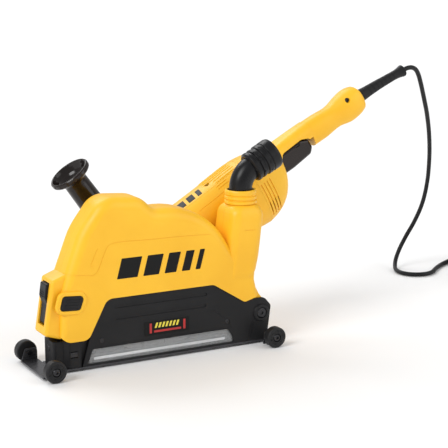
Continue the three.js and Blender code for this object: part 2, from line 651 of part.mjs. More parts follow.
// The grip leans forward a little on its straight stud.
function sideGrip() {
  const foot = 62.8;
  const profile = [
    [0, foot], [16, foot], [21, 65], [22.5, 70], [22.5, 90], [21, 154], [20.5, 190], [20.5, 196], [26, 201],
    [33, 203], [35.5, 206], [35.5, 210], [34, 212], [31.5, 211], [28, 206], [14, 199], [0, 197.5],
  ];
  const upright = turned(profile, 'z', 22).translate([0, 0, -foot]);
  const leaning = upright.rotate([0, -GRIP_LEAN, 0]).translate([GRIP_AT, 0, foot]);
  return leaning.subtract(turned(rod(6.3, 50, 94), 'z', 22, GRIP_AT, 0, 0));
}

function buildMotor() {
  add('bearing_plate', turned(ring(16.3, 45, 52.3, 58), 'x', 28), ALLOY, tool);
  add('front_motor_bearing', turned(ring(5.3, 16, 53, 62), 'x', 24), STEEL, tool);
  add('rear_motor_bearing', turned(ring(5.3, 15.9, 245, 254), 'x', 24), STEEL, tool);
  add('pinion', pinionShape(), STEEL, tool);
  add('armature', armatureShape(), COPPER, tool);
  add('cooling_fan', fanShape(), BLACK, tool);
  add('stator', statorShape(), STEEL, tool);
  add('motor_housing', motorHousing(), YELLOW, tool);
  for (const [hand, side] of [['near', -1], ['far', 1]]) {
    const reach = [side * 17.4, side * 44];
    add(`brush_holder_${hand}`, box(214, 228, Math.min(...reach), Math.max(...reach), -7, 7), COPPER, tool);
  }
}

function buildHandle() {
  const shell = handleShell();
  add('handle_near', shell.intersect(box(200, 600, -70, -GAP / 2, -100, 100)), YELLOW, tool);
  add('handle_far', shell.intersect(box(200, 600, GAP / 2, 70, -100, 100)), YELLOW, tool);
  add('switch_unit', box(338, 392, -13, 13, 8.5, 18), BLACK, tool);
  add('trigger', triggerShape(), GRIP, tool);
  add('strain_relief', strainRelief(), RUBBER, tool);
  add('side_grip', sideGrip(), GRIP, tool);
  add('side_grip_stud', turned(rod(6, 41, 93), 'z', 16, GRIP_AT, 0, 0), STEEL, tool);
}

// ---------------------------------------------------------------- mains lead, in the machine's frame
function toolPoint(s, n) {
  const p = rad(TOOL.pitch);
  return [TOOL.x + s * Math.cos(p) - n * Math.sin(p), TOOL.y, TOOL.z + s * Math.sin(p) + n * Math.cos(p)];
}

const COIL = { x: 1085, y: 227, radius: 50.3, half: 13, height: 27 };
const PLUG = { x: 1114.7, y: 183.7, heading: -108, half: 10 };

// From the strain relief over and down to the floor, round one bend and on to the coil.
function cordRoute() {
  const floor = CORD.radius + 0.2;
  return [
    toolPoint(632.6, -13.8), [765, 90.5, 440], [779, 95, 440.5], [794, 102, 431], [813, 114, 406],
    [836, 133, 374], [861, 155, 339], [888, 182, 294], [913, 212, 244], [933, 243, 187], [942, 270, 136],
    [939, 291, 95], [927, 303, 62], [914, 306, 36], [902, 301, 17], [892, 289, 7], [882, 270, floor],
    [876, 248, floor], [882, 227.5, floor], [896, 216, floor], [914, 213.5, floor], [933, 221, floor],
    [958, 239, floor], [992, 263, floor], [1026, 281, floor], [1050, 287.5, floor],
  ];
}

function coilRing() {
  const { radius, half, height } = COIL;
  const low = 0.4;
  const c = 4;
  const profile = [
    [radius - half, low + c], [radius - half + c, low], [radius + half - c, low], [radius + half, low + c],
    [radius + half, height - c], [radius + half - c, height], [radius - half + c, height],
    [radius - half, height - c], [radius - half, low + c],
  ];
  return turned(profile, 'z', 20, COIL.x, COIL.y, 0);
}

function plugShape() {
  const low = COIL.height + GAP;
  const high = low + 2 * PLUG.half;
  const axis = low + PLUG.half;
  const body = block([[-20, -19, 10], [22, -19, 10], [22, 19, 10], [-20, 19, 10]], low, high);
  const pins = [-9.5, 9.5].map((y) => turned(rod(2.4, 21, 41), 'x', 12, 0, y, axis));
  let plug = body.add(turned(rod(6, -32, -18), 'x', 16, 0, 0, axis));
  for (const pin of pins) plug = plug.add(pin);
  return plug.rotate([0, 0, PLUG.heading]).translate([PLUG.x, PLUG.y, 0]);
}

function buildLead() {
  add('cord', cordTube(cordRoute(), CORD.radius, 8, 64), RUBBER);
  add('cord_coil', coilRing(), RUBBER);
  add('plug', plugShape(), RUBBER);
}

buildShoe();
buildHood();
buildHead();
buildMotor();
buildHandle();
buildLead();

export default machine;
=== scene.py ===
"""Wall chaser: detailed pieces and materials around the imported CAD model.

Shapes are written in millimetres in a layout frame (X from the front axle to the rear, Y from the hood's
middle plane, Z from the floor) and are moved to the row frame when a mesh is made.
"""
import json
import math

import bmesh
import bpy
import numpy as np
from mathutils import Matrix, Vector
from mathutils.geometry import tessellate_polygon


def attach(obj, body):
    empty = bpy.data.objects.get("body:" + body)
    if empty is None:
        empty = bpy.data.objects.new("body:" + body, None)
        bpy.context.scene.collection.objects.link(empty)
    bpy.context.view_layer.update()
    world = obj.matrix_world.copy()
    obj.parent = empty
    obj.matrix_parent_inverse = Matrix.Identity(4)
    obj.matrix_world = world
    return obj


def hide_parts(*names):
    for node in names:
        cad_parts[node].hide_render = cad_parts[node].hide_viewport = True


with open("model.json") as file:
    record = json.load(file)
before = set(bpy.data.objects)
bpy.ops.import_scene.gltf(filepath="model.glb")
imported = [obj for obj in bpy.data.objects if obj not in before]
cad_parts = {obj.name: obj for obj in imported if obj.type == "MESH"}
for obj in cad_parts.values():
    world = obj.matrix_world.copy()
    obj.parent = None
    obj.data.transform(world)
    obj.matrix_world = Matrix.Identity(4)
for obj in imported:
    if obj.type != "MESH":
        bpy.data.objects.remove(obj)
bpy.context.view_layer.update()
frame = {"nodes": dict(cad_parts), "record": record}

# ------------------------------------------------------------------ dimensions, mm
ORIGIN = (371.0, 38.0)
TOOL = {"x": 205.0, "y": 90.0, "z": 120.0, "pitch": 31.0}
HOOD = {"half": 34.0, "wall": 2.7}
NECK = {"x": 363.0, "radius": 26.5, "bore": 22.0, "low": 240.0, "high": 262.0}
OUTLET_PITCH = 28.0
ELBOW = {"radius": 19.4, "wall": 2.8, "bend": 40.0, "start": 262.0}
PIVOT = (386.0, 53.0)
PIVOT_AT = (PIVOT[0], 0, PIVOT[1])
SPINDLE_AT = (TOOL["x"], 0, TOOL["z"])
NECK_AT = (NECK["x"], 0, 0)
LEVER_PIN_AT = (9.6, 0, 83)
HOUSING_SCREW_AT = (190, -6, 0)
BRUSH_CAP_AT = (221, 0, 0)
LOCK_AT = (24, 0, -14)
GRIP_BORE_AT = (0, 0, -1)
AXLE_HEIGHT = 17.5
GRIP_LEAN = 5.0
GRIP_AT = 8.5
STUD_AT = (GRIP_AT, 0, 0)
LEAD_EXIT = (632.6, -13.8)
CORD_RADIUS = 4.25
LEAD_HEIGHT = CORD_RADIUS + 0.2
COIL = {"x": 1085.0, "y": 227.0}
PLUG = {"x": 1114.7, "y": 183.7, "heading": -108.0, "half": 10.0, "low": 27.3}


# ------------------------------------------------------------------ places
def machine(p):
    return Vector(((p[0] - ORIGIN[0]) / 1000, (p[1] - ORIGIN[1]) / 1000, p[2] / 1000))


def tool_point(s, n, y=0.0):
    """A layout point of the grinder: along the motor, towards the side grip, along the spindle."""
    a = math.radians(TOOL["pitch"])
    return (TOOL["x"] + s * math.cos(a) - n * math.sin(a), TOOL["y"] + y,
            TOOL["z"] + s * math.sin(a) + n * math.cos(a))


def on_tool(p):
    """The grinder's own axes: along the motor, along the spindle, towards the side grip."""
    return machine(tool_point(p[0], p[2], p[1]))


def on_outlet(p):
    """A point measured along the elbow's outlet axis (first), across it (second) and up from it (third)."""
    a = math.radians(OUTLET_PITCH)
    turn = math.radians(90 - OUTLET_PITCH)
    x0 = NECK["x"] + ELBOW["bend"] * (1 - math.cos(turn))
    z0 = ELBOW["start"] + ELBOW["bend"] * math.sin(turn)
    x = x0 + p[0] * math.cos(a) - p[2] * math.sin(a)
    z = z0 + p[0] * math.sin(a) + p[2] * math.cos(a)
    return machine((x, p[1], z))


# ------------------------------------------------------------------ mesh helpers
def mesh_object(name, points, faces, place=machine):
    mesh = bpy.data.meshes.new(name)
    mesh.from_pydata([place(p) for p in points], [], faces)
    mesh.validate()
    thing = bpy.data.objects.new(name, mesh)
    bpy.context.scene.collection.objects.link(thing)
    if volume(mesh) < 0:
        mesh.flip_normals()
    return thing


def volume(mesh):
    total = 0.0
    for face in mesh.polygons:
        corners = [mesh.vertices[i].co for i in face.vertices]
        for i in range(1, len(corners) - 1):
            total += corners[0].dot(corners[i].cross(corners[i + 1]))
    return total


def outline(corners, inset=0.0, arc_step=9.0):
    """Points of a closed outline with rounded corners [a, b, radius]; inset moves every edge inwards."""
    count = len(corners)
    area = 0.0
    for i, here in enumerate(corners):
        then = corners[(i + 1) % count]
        area += here[0] * then[1] - then[0] * here[1]
    turn = 1.0 if area > 0 else -1.0
    points = []
    for i, corner in enumerate(corners):
        here = np.array(corner[:2], float)
        into = here - np.array(corners[i - 1][:2], float)
        away = np.array(corners[(i + 1) % count][:2], float) - here
        into /= np.linalg.norm(into)
        away /= np.linalg.norm(away)
        normal_in = np.array([-into[1], into[0]]) * turn
        normal_out = np.array([-away[1], away[0]]) * turn
        cross = into[0] * away[1] - into[1] * away[0]
        bend = math.atan2(cross, float(into @ away)) * turn
        side = 1.0 if bend >= 0 else -1.0
        mitre = (normal_in + normal_out) / (1 + float(normal_in @ normal_out))
        given = corner[2] if len(corner) > 2 else 0.0
        radius = given - side * inset
        steps = max(1, math.ceil(abs(bend) / math.radians(arc_step)))
        centre = here + mitre * side * given
        for k in range(steps + 1):
            if radius <= 0.05:
                points.append(here + mitre * inset)
                continue
            swing = bend * turn * k / steps
            c, s = math.cos(swing), math.sin(swing)
            normal = np.array([normal_in[0] * c - normal_in[1] * s, normal_in[0] * s + normal_in[1] * c])
            points.append(centre - normal * side * radius)
    return points


def loft(name, rings, place=machine):
    """A closed solid through rings of equal size, capped at both ends."""
    size = len(rings[0])
    points = [tuple(p) for ring in rings for p in ring]
    faces = []
    for r in range(len(rings) - 1):
        for i in range(size):
            a = r * size + i
            b = r * size + (i + 1) % size
            faces.append((a, b, b + size, a + size))
    last = (len(rings) - 1) * size
    for base, flip in ((0, True), (last, False)):
        triangles = tessellate_polygon([[Vector(points[base + i]) for i in range(size)]])
        ordered = list(range(base, base + size))
        for t in triangles:
            faces.append(tuple(ordered[i] for i in (t if not flip else reversed(t))))
    thing = mesh_object(name, points, faces, place)
    tidy(thing)
    return thing


def tidy(thing, merge=1e-6):
    work = bmesh.new()
    work.from_mesh(thing.data)
    bmesh.ops.remove_doubles(work, verts=work.verts, dist=merge)
    bmesh.ops.dissolve_degenerate(work, dist=merge, edges=work.edges)
    bmesh.ops.recalc_face_normals(work, faces=work.faces)
    work.to_mesh(thing.data)
    work.free()
    if volume(thing.data) < 0:
        thing.data.flip_normals()


def layers(corners, low, high, edge, inset, steps, arc_step=9.0):
    """Heights and outlines from a low face to a high one, with rims rounded by edge."""
    first = 0 if edge > 0 else steps
    angles = [math.radians(90.0 * i / steps) for i in range(first, steps + 1)]
    rims = [(low, edge, a) for a in angles] + [(high, -edge, a) for a in reversed(angles)]
    for face, rise, a in rims:
        yield face + rise * (1 - math.cos(a)), outline(corners, inset + edge * (1 - math.sin(a)), arc_step)


def slab(name, corners, y0, y1, edge=0.0, inset=0.0, place=machine, steps=5, arc_step=9.0):
    """An outline of (x, z) corners made thick from y0 to y1."""
    rings = [[(a, y, b) for a, b in ring] for y, ring in layers(corners, y0, y1, edge, inset, steps,
                                                                arc_step)]
    return loft(name, rings, place)


def block(name, corners, z0, z1, edge=0.0, place=machine, steps=3):
    """An outline of (x, y) corners made tall from z0 to z1."""
    rings = [[(a, b, z) for a, b in ring] for z, ring in layers(corners, z0, z1, edge, 0.0, steps)]
    return loft(name, rings, place)


def rectangle(a0, b0, a1, b1, radius=0.0, lean=0.0):
    """Corners of a rectangle whose second side may be shifted by lean."""
    return [[a0, b0, radius], [a1, b0, radius], [a1 + lean, b1, radius], [a0 + lean, b1, radius]]


def box(name, x0, x1, y0, y1, z0, z1, place=machine, edge=0.0):
    return block(name, rectangle(x0, y0, x1, y1, edge), z0, z1, edge, place)


def turned(name, profile, axis="y", centre=(0, 0, 0), place=machine, sides=64, arc_step=18.0):
    """A closed profile of [radius, height, rounding] corners turned about an axis through centre."""
    rounded = outline(profile, 0.0, arc_step)
    keep = []
    for p in rounded:
        if not keep or np.linalg.norm(p - keep[-1]) > 1e-4:
            keep.append(p)
    rings = []
    for i in range(sides):
        a = 2 * math.pi * i / sides
        ring = []
        for r, h in keep:
            r = max(r, 0.0)
            c, s = r * math.cos(a), r * math.sin(a)
            local = {"x": (h, c, s), "y": (c, h, s), "z": (c, s, h)}[axis]
            ring.append(tuple(local[k] + centre[k] for k in range(3)))
        rings.append(ring)
    size = len(keep)
    points = [p for ring in rings for p in ring]
    faces = []
    for i in range(sides):
        j = (i + 1) % sides
        for k in range(size):
            m = (k + 1) % size
            faces.append((i * size + k, j * size + k, j * size + m, i * size + m))
    thing = mesh_object(name, points, faces, place)
    tidy(thing)
    return thing


def bar(name, radius, low, high, rims, axis="y", centre=(0, 0, 0), place=machine, sides=64):
    """A round bar between two heights along an axis, with both rims rounded."""
    profile = [[0, low], [radius, low, rims[0]], [radius, high, rims[1]], [0, high]]
    return turned(name, profile, axis, centre, place, sides)


def rod(radius, low, high, axis="y", centre=(0, 0, 0), place=machine, sides=64):
    """A round bar with sharp rims, to cut with."""
    return bar("rod", radius, low, high, (0, 0), axis, centre, place, sides)


def flank(side, near, far):
    """Two distances from the middle plane on one side of it, lower first."""
    return sorted((side * near, side * far))


def mirrored(profile, side):
    """A turned profile of the near or the far side."""
    return [[p[0], side * p[1]] + p[2:] for p in profile]


def around(count, radius, start=0.0):
    """Points set evenly on a circle."""
    angles = [start + 2 * math.pi * i / count for i in range(count)]
    return [(radius * math.cos(a), radius * math.sin(a)) for a in angles]


def tube(name, path, radii, sides=24, place=machine):
    """A closed round bar along path with a radius at each point."""
    path = [np.array(p, float) for p in path]
    rings = []
    across = None
    for i, p in enumerate(path):
        ahead = path[min(i + 1, len(path) - 1)] - path[max(i - 1, 0)]
        ahead /= np.linalg.norm(ahead)
        if across is None:
            across = np.cross(ahead, [0.0, 1.0, 0.0] if abs(ahead[1]) < 0.9 else [1.0, 0.0, 0.0])
        across = across - ahead * float(across @ ahead)
        across /= np.linalg.norm(across)
        up = np.cross(ahead, across)
        ring = []
        for k in range(sides):
            a = 2 * math.pi * k / sides
            ring.append(tuple(p + radii[i] * (across * math.cos(a) + up * math.sin(a))))
        rings.append(ring)
    return loft(name, rings, place)


def boolean(target, cutters, operation):
    for cutter in cutters:
        change = target.modifiers.new("cut", "BOOLEAN")
        change.operation = operation
        change.solver = "MANIFOLD"
        change.object = cutter
        depsgraph = bpy.context.evaluated_depsgraph_get()
        result = bpy.data.meshes.new_from_object(target.evaluated_get(depsgraph))
        target.modifiers.clear()
        old = target.data
        if len(result.polygons) == 0:
            raise RuntimeError(f"{target.name}: nothing left after {operation} with {cutter.name}")
        target.data = result
        bpy.data.meshes.remove(old)
        bpy.data.objects.remove(cutter)
    return target


def cut(target, *cutters):
    return boolean(target, cutters, "DIFFERENCE")


def join(target, *others):
    return boolean(target, others, "UNION")


def keep_inside(target, other):
    return boolean(target, [other], "INTERSECT")


def copy_of(thing, name):
    twin = thing.copy()
    twin.data = thing.data.copy()
    twin.name = name
    bpy.context.scene.collection.objects.link(twin)
    return twin


def dress(thing, material, body, *nodes, slot=None, sharp=32.0, bevel=0.0):
    """Shading, material, the body it rides on and the CAD nodes it stands for."""
    work = bmesh.new()
    work.from_mesh(thing.data)
    bmesh.ops.remove_doubles(work, verts=work.verts, dist=2e-6)
    bmesh.ops.dissolve_limit(work, angle_limit=math.radians(0.4), verts=work.verts, edges=work.edges)
    work.to_mesh(thing.data)
    work.free()
    thing.data.materials.clear()
    thing.data.materials.append(material)
    if bevel:
        soft = thing.modifiers.new("edges", "BEVEL")
        soft.width = bevel / 1000
        soft.segments = 2
        soft.limit_method = "ANGLE"
        soft.angle_limit = math.radians(35)
        soft.use_clamp_overlap = True
        soft.miter_outer = "MITER_ARC"
    for face in thing.data.polygons:
        face.use_smooth = True
    thing.data.set_sharp_from_angle(angle=math.radians(sharp))
    even = thing.modifiers.new("even", "WEIGHTED_NORMAL")
    even.keep_sharp = True
    even.weight = 80
    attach(thing, body)
    look = material.name.split(".")[0]
    slot or SLOTS[look]
    if nodes:
        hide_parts(*nodes)
    return thing


# ------------------------------------------------------------------ materials
def new_material(name):
    material = bpy.data.materials.new(name)
    material.use_nodes = True
    tree = material.node_tree
    tree.nodes.clear()
    output = tree.nodes.new("ShaderNodeOutputMaterial")
    shader = tree.nodes.new("ShaderNodeBsdfPrincipled")
    tree.links.new(shader.outputs[0], output.inputs[0])
    return material, tree, shader


def noise(tree, scale, detail=3.0, rough=0.5, stretch=None):
    where = tree.nodes.new("ShaderNodeTexCoord")
    source = where.outputs["Object"]
    if stretch:
        mapping = tree.nodes.new("ShaderNodeMapping")
        mapping.inputs["Scale"].default_value = stretch
        tree.links.new(source, mapping.inputs["Vector"])
        source = mapping.outputs["Vector"]
    texture = tree.nodes.new("ShaderNodeTexNoise")
    texture.inputs["Scale"].default_value = scale
    texture.inputs["Detail"].default_value = detail
    texture.inputs["Roughness"].default_value = rough
    tree.links.new(source, texture.inputs["Vector"])
    return texture.outputs["Fac"]


def ramp(tree, source, low, high, start=0.35, stop=0.65):
    node = tree.nodes.new("ShaderNodeValToRGB")
    node.color_ramp.elements[0].position = start
    node.color_ramp.elements[0].color = low
    node.color_ramp.elements[1].position = stop
    node.color_ramp.elements[1].color = high
    tree.links.new(source, node.inputs["Fac"])
    return node.outputs["Color"]


def grey(value):
    return (value, value, value, 1.0)


def bump(tree, shader, sources):
    """Bumps of (height source, strength, distance in metres), one feeding the next."""
    previous = None
    for source, strength, distance in sources:
        node = tree.nodes.new("ShaderNodeBump")
        node.inputs["Strength"].default_value = strength
        node.inputs["Distance"].default_value = distance
        tree.links.new(source, node.inputs["Height"])
        if previous:
            tree.links.new(previous, node.inputs["Normal"])
        previous = node.outputs["Normal"]
    tree.links.new(previous, shader.inputs["Normal"])


def moulded(name, dark, light, rough=(0.36, 0.46), grain=2600.0, strength=0.10, specular=0.5):
    """Moulded plastic: slow colour drift, a fine spark-eroded grain and uneven gloss."""
    material, tree, shader = new_material(name)
    colour = ramp(tree, noise(tree, 9.0, 4.0), dark + (1.0,), light + (1.0,))
    tree.links.new(colour, shader.inputs["Base Color"])
    gloss = ramp(tree, noise(tree, 38.0, 5.0), grey(rough[0]), grey(rough[1]))
    tree.links.new(gloss, shader.inputs["Roughness"])
    shader.inputs["Specular IOR Level"].default_value = specular
    bump(tree, shader, [(noise(tree, grain, 2.0), strength, 0.00025),
                        (noise(tree, 55.0, 2.0), 0.05, 0.0008)])
    return material


def brushed(name, low, high, rough, stretch, metallic=1.0, grain=700.0):
    material, tree, shader = new_material(name)
    lines = noise(tree, grain, 4.0, 0.6, stretch)
    tree.links.new(ramp(tree, lines, low + (1.0,), high + (1.0,), 0.25, 0.8), shader.inputs["Base Color"])
    tree.links.new(ramp(tree, lines, grey(rough[0]), grey(rough[1])), shader.inputs["Roughness"])
    shader.inputs["Metallic"].default_value = metallic
    bump(tree, shader, [(lines, 0.12, 0.0003), (noise(tree, 30.0, 3.0), 0.05, 0.001)])
    return material


def clear_plastic():
    material, tree, shader = new_material("clear_window")
    shader.inputs["Base Color"].default_value = (0.86, 0.88, 0.89, 1.0)
    shader.inputs["IOR"].default_value = 1.45
    shader.inputs["Alpha"].default_value = 0.2
    gloss = ramp(tree, noise(tree, 60.0, 3.0, 0.6, (1.0, 1.0, 6.0)), grey(0.06), grey(0.2))
    tree.links.new(gloss, shader.inputs["Roughness"])
    bump(tree, shader, [(noise(tree, 120.0, 2.0, 0.5, (1.0, 1.0, 5.0)), 0.08, 0.0006)])
    return material


def cast_alloy():
    material, tree, shader = new_material("cast_alloy")
    tree.links.new(ramp(tree, noise(tree, 60.0, 5.0), (0.17, 0.175, 0.18, 1.0), (0.26, 0.265, 0.27, 1.0)),
                   shader.inputs["Base Color"])
    tree.links.new(ramp(tree, noise(tree, 150.0, 4.0), grey(0.42), grey(0.6)), shader.inputs["Roughness"])
    shader.inputs["Metallic"].default_value = 0.85
    bump(tree, shader, [(noise(tree, 1500.0, 3.0), 0.25, 0.0003)])
    return material


def grit():
    material, tree, shader = new_material("abrasive_grit")
    tree.links.new(ramp(tree, noise(tree, 900.0, 4.0), (0.05, 0.05, 0.052, 1.0), (0.24, 0.23, 0.22, 1.0)),
                   shader.inputs["Base Color"])
    shader.inputs["Roughness"].default_value = 0.75
    bump(tree, shader, [(noise(tree, 1800.0, 3.0), 0.5, 0.0005)])
    return material


YELLOW = moulded("yellow_shell", (0.90, 0.47, 0.014), (0.97, 0.54, 0.022), (0.36, 0.46), specular=0.42)
BLACK = moulded("black_panel", (0.006, 0.006, 0.007), (0.011, 0.011, 0.012), (0.4, 0.52),
                2200.0, 0.22, 0.25)
SATIN = moulded("satin_black", (0.005, 0.005, 0.006), (0.010, 0.010, 0.011), (0.26, 0.36),
                2200.0, 0.08, 0.26)
TYRE = moulded("black_wheel", (0.008, 0.008, 0.009), (0.014, 0.014, 0.015), (0.45, 0.6), 1800.0, 0.2, 0.3)
GLOSS = moulded("dark_grip", (0.008, 0.004, 0.003), (0.014, 0.008, 0.006), (0.08, 0.16), 1600.0, 0.03, 0.38)
FROSTED = moulded("frosted_ridge", (0.52, 0.53, 0.54), (0.64, 0.65, 0.66), (0.2, 0.34), 1400.0, 0.05)
RUBBER = moulded("rubber", (0.005, 0.005, 0.006), (0.010, 0.010, 0.011), (0.42, 0.55), 2400.0, 0.2, 0.25)
PRINT = moulded("print_black", (0.003, 0.003, 0.003), (0.005, 0.005, 0.005), (0.35, 0.45),
                2600.0, 0.05, 0.2)
MARK_YELLOW = moulded("print_yellow", (0.75, 0.62, 0.05), (0.82, 0.7, 0.07), (0.3, 0.4), 2600.0, 0.05)
MARK_RED = moulded("print_red", (0.42, 0.012, 0.012), (0.5, 0.02, 0.018), (0.3, 0.4), 2600.0, 0.05)
ALL_WAYS = (1.0, 1.0, 1.0)
STEEL = brushed("zinc_steel", (0.42, 0.43, 0.44), (0.66, 0.67, 0.68), (0.22, 0.38), (0.15, 1.0, 1.0))
DARK_STEEL = brushed("dark_steel", (0.12, 0.12, 0.125), (0.26, 0.26, 0.27), (0.3, 0.45), ALL_WAYS)
BLACKENED = brushed("blackened_steel", (0.03, 0.03, 0.032), (0.07, 0.07, 0.074), (0.28, 0.42), ALL_WAYS)
COATED = brushed("coated_steel", (0.045, 0.045, 0.05), (0.10, 0.10, 0.106), (0.26, 0.4),
                 (0.2, 1.0, 1.0), 0.7)
ALLOY = cast_alloy()
COPPER = brushed("copper", (0.5, 0.22, 0.09), (0.75, 0.38, 0.18), (0.3, 0.45), (1.0, 0.1, 1.0))
CLEAR = clear_plastic()
GRIT = grit()
SLOTS = {
    "yellow_shell": "yellow_plastic", "black_panel": "black_plastic", "satin_black": "black_plastic",
    "black_wheel": "wheel_plastic", "dark_grip": "dark_grip", "frosted_ridge": "clear_window",
    "clear_window": "clear_window", "rubber": "rubber", "print_black": "label_print",
    "print_yellow": "label_print", "print_red": "label_print", "zinc_steel": "steel", "dark_steel": "steel",
    "blackened_steel": "steel", "coated_steel": "steel", "cast_alloy": "alloy", "abrasive_grit": "abrasive",
}


# ------------------------------------------------------------------ camera, lights, floor
CAMERA = {"lens": 110.9, "at": (-746.7, -1975.7, 678.3), "right": (0.8778, -0.4791, 0.0),
          "back": (-0.4689, -0.8590, 0.2057)}
SKY = 0.55
LAMPS = [("key", (0.78, 0.26, -0.6), 1.55, 30), ("fill", (-0.7, 0.8, -0.55), 0.7, 50),
         ("rim", (0.1, -0.9, -0.9), 1.0, 36)]
FLOOR_SIZE = 30.0


def build_camera():
    data = bpy.data.cameras.new("camera")
    data.lens = CAMERA["lens"]
    data.sensor_width = 36.0
    data.clip_end = 50.0
    camera = bpy.data.objects.new("camera", data)
    right = Vector(CAMERA["right"]).normalized()
    back = Vector(CAMERA["back"]).normalized()
    up = back.cross(right).normalized()
    turn = Matrix((right, up, back)).transposed()
    camera.matrix_world = Matrix.Translation(machine(CAMERA["at"])) @ turn.to_4x4()
    bpy.context.scene.collection.objects.link(camera)
    bpy.context.scene.camera = camera


def soft_sun(name, direction, strength, spread):
    """A distant soft lamp that shines along direction."""
    data = bpy.data.lights.new(name, "SUN")
    data.energy = strength
    data.angle = math.radians(spread)
    light = bpy.data.objects.new(name, data)
    light.rotation_euler = Vector(direction).to_track_quat("-Z", "Y").to_euler()
    light.location = (-Vector(direction)).normalized() * 3.0
    bpy.context.scene.collection.objects.link(light)


def build_stage():
    material, tree, shader = new_material("floor_white")
    tree.links.new(ramp(tree, noise(tree, 3.0, 2.0), grey(0.93), grey(0.95)), shader.inputs["Base Color"])
    shader.inputs["Roughness"].default_value = 0.6
    size = FLOOR_SIZE
    floor = mesh_object("floor", [(-size, -size, 0), (size, -size, 0), (size, size, 0), (-size, size, 0)],
                        [(0, 1, 2, 3)], place=lambda p: Vector((p[0], p[1], p[2] - 0.0004)))
    floor.data.materials.append(material)
    world = bpy.data.worlds.new("studio")
    bpy.context.scene.world = world
    world.use_nodes = True
    world.node_tree.nodes["Background"].inputs["Color"].default_value = (1.0, 1.0, 1.0, 1.0)
    world.node_tree.nodes["Background"].inputs["Strength"].default_value = SKY
    for lamp in LAMPS:
        soft_sun(*lamp)
    bpy.context.scene.view_settings.view_transform = "Standard"


# ------------------------------------------------------------------ mains lead
def lead_points():
    """The open route from the sleeve to the coil, as in the CAD model."""
    floor = LEAD_HEIGHT
    return [
        tool_point(*LEAD_EXIT), (763.8, 91, 437.2), (776.8, 94, 437.6), (789.5, 99, 433), (801, 106, 423),
        (813, 114, 406), (836, 133, 374), (861, 155, 339), (888, 182, 294), (913, 212, 244),
        (933, 243, 187), (942, 270, 136), (939, 291, 95), (927, 303, 62), (914, 306, 36), (902, 301, 17),
        (892, 289, 7), (881.5, 271, floor), (876, 251, floor), (878.8, 233, floor), (889.2, 219.5, floor),
        (905, 212.5, floor), (922, 213.5, floor), (938, 221.5, floor),
        (958, 239, floor), (992, 263, floor), (1026, 281, floor), (1050, 287.5, floor),
    ]


def smooth_step(t):
    t = min(max(t, 0.0), 1.0)
    return t * t * (3 - 2 * t)


def coil_points():
    """Three layers of three turns, then a short rise into the plug that lies on top."""
    pitch = 8.75
    radii = [59.0, 59.0 - pitch, 59.0 - 2 * pitch]
    steps = radii + radii[::-1] + radii + [radii[2]]
    layers = [4.5] * 3 + [13.4] * 3 + [22.3] * 3 + [31.2]
    bulge = {2: -5.0, 5: 5.0, 8: -5.0}
    points = []
    per_turn = 40
    last = 9.3
    for i in range(int(last * per_turn) + 1):
        t = i / per_turn
        k = min(int(t), len(steps) - 1)
        part = t - k
        after = min(k + 1, len(steps) - 1)
        blend = smooth_step((part - 0.5) / 0.5)
        radius = steps[k] + (steps[after] - steps[k]) * blend
        height = layers[k] + (layers[after] - layers[k]) * blend
        if k in bulge:
            radius += bulge[k] * smooth_step((part - 0.25) / 0.4)
        if k - 1 in bulge:
            radius += bulge[k - 1] * (1 - smooth_step(part / 0.35))
        if t > 9:
            height += (PLUG["low"] + PLUG["half"] - layers[-1]) * smooth_step((t - 9) / (last - 9))
        angle = math.radians(90 - 360 * t)
        points.append((COIL["x"] + radius * math.cos(angle), COIL["y"] + radius * math.sin(angle), height))
    return points


def through(points, step=5.0):
    """A dense smooth line through points (centripetal Catmull-Rom)."""
    p = [np.array(q, float) for q in points]
    p = [2 * p[0] - p[1]] + p + [2 * p[-1] - p[-2]]
    line = []
    for i in range(1, len(p) - 2):
        a, b, c, d = p[i - 1], p[i], p[i + 1], p[i + 2]
        t0, t1 = 0.0, math.sqrt(np.linalg.norm(b - a))
        t2 = t1 + math.sqrt(np.linalg.norm(c - b))
        t3 = t2 + math.sqrt(np.linalg.norm(d - c))
        count = max(1, round(float(np.linalg.norm(c - b)) / step))
        for k in range(count):
            t = t1 + (t2 - t1) * k / count
            a1 = (t1 - t) / (t1 - t0) * a + (t - t0) / (t1 - t0) * b
            a2 = (t2 - t) / (t2 - t1) * b + (t - t1) / (t2 - t1) * c
            a3 = (t3 - t) / (t3 - t2) * c + (t - t2) / (t3 - t2) * d
            b1 = (t2 - t) / (t2 - t0) * a1 + (t - t0) / (t2 - t0) * a2
            b2 = (t3 - t) / (t3 - t1) * a2 + (t - t1) / (t3 - t1) * a3
            line.append((t2 - t) / (t2 - t1) * b1 + (t - t1) / (t2 - t1) * b2)
    line.append(p[-2])
    return line


def build_lead():
    line = through(lead_points() + [(1068, 286.6, LEAD_HEIGHT)] + coil_points())
    places = [machine(p) for p in line]
    length = sum((b - a).length for a, b in zip(places, places[1:]))
    curve = bpy.data.curves.new("mains_lead", "CURVE")
    curve.dimensions = "3D"
    curve.bevel_depth = CORD_RADIUS / 1000
    curve.bevel_resolution = 4
    curve.use_fill_caps = True
    spline = curve.splines.new("POLY")
    spline.points.add(len(places) - 1)
    for point, place in zip(spline.points, places):
        point.co = (*place, 1.0)
    lead = bpy.data.objects.new("mains_lead", curve)
    bpy.context.scene.collection.objects.link(lead)
    curve.materials.append(RUBBER)
    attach(lead, "hood")
    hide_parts("cord", "cord_coil")
    plug = build_plug()
    tie = build_tie()


def on_plug(p):
    a = math.radians(PLUG["heading"])
    return machine((PLUG["x"] + p[0] * math.cos(a) - p[1] * math.sin(a),
                    PLUG["y"] + p[0] * math.sin(a) + p[1] * math.cos(a), p[2]))


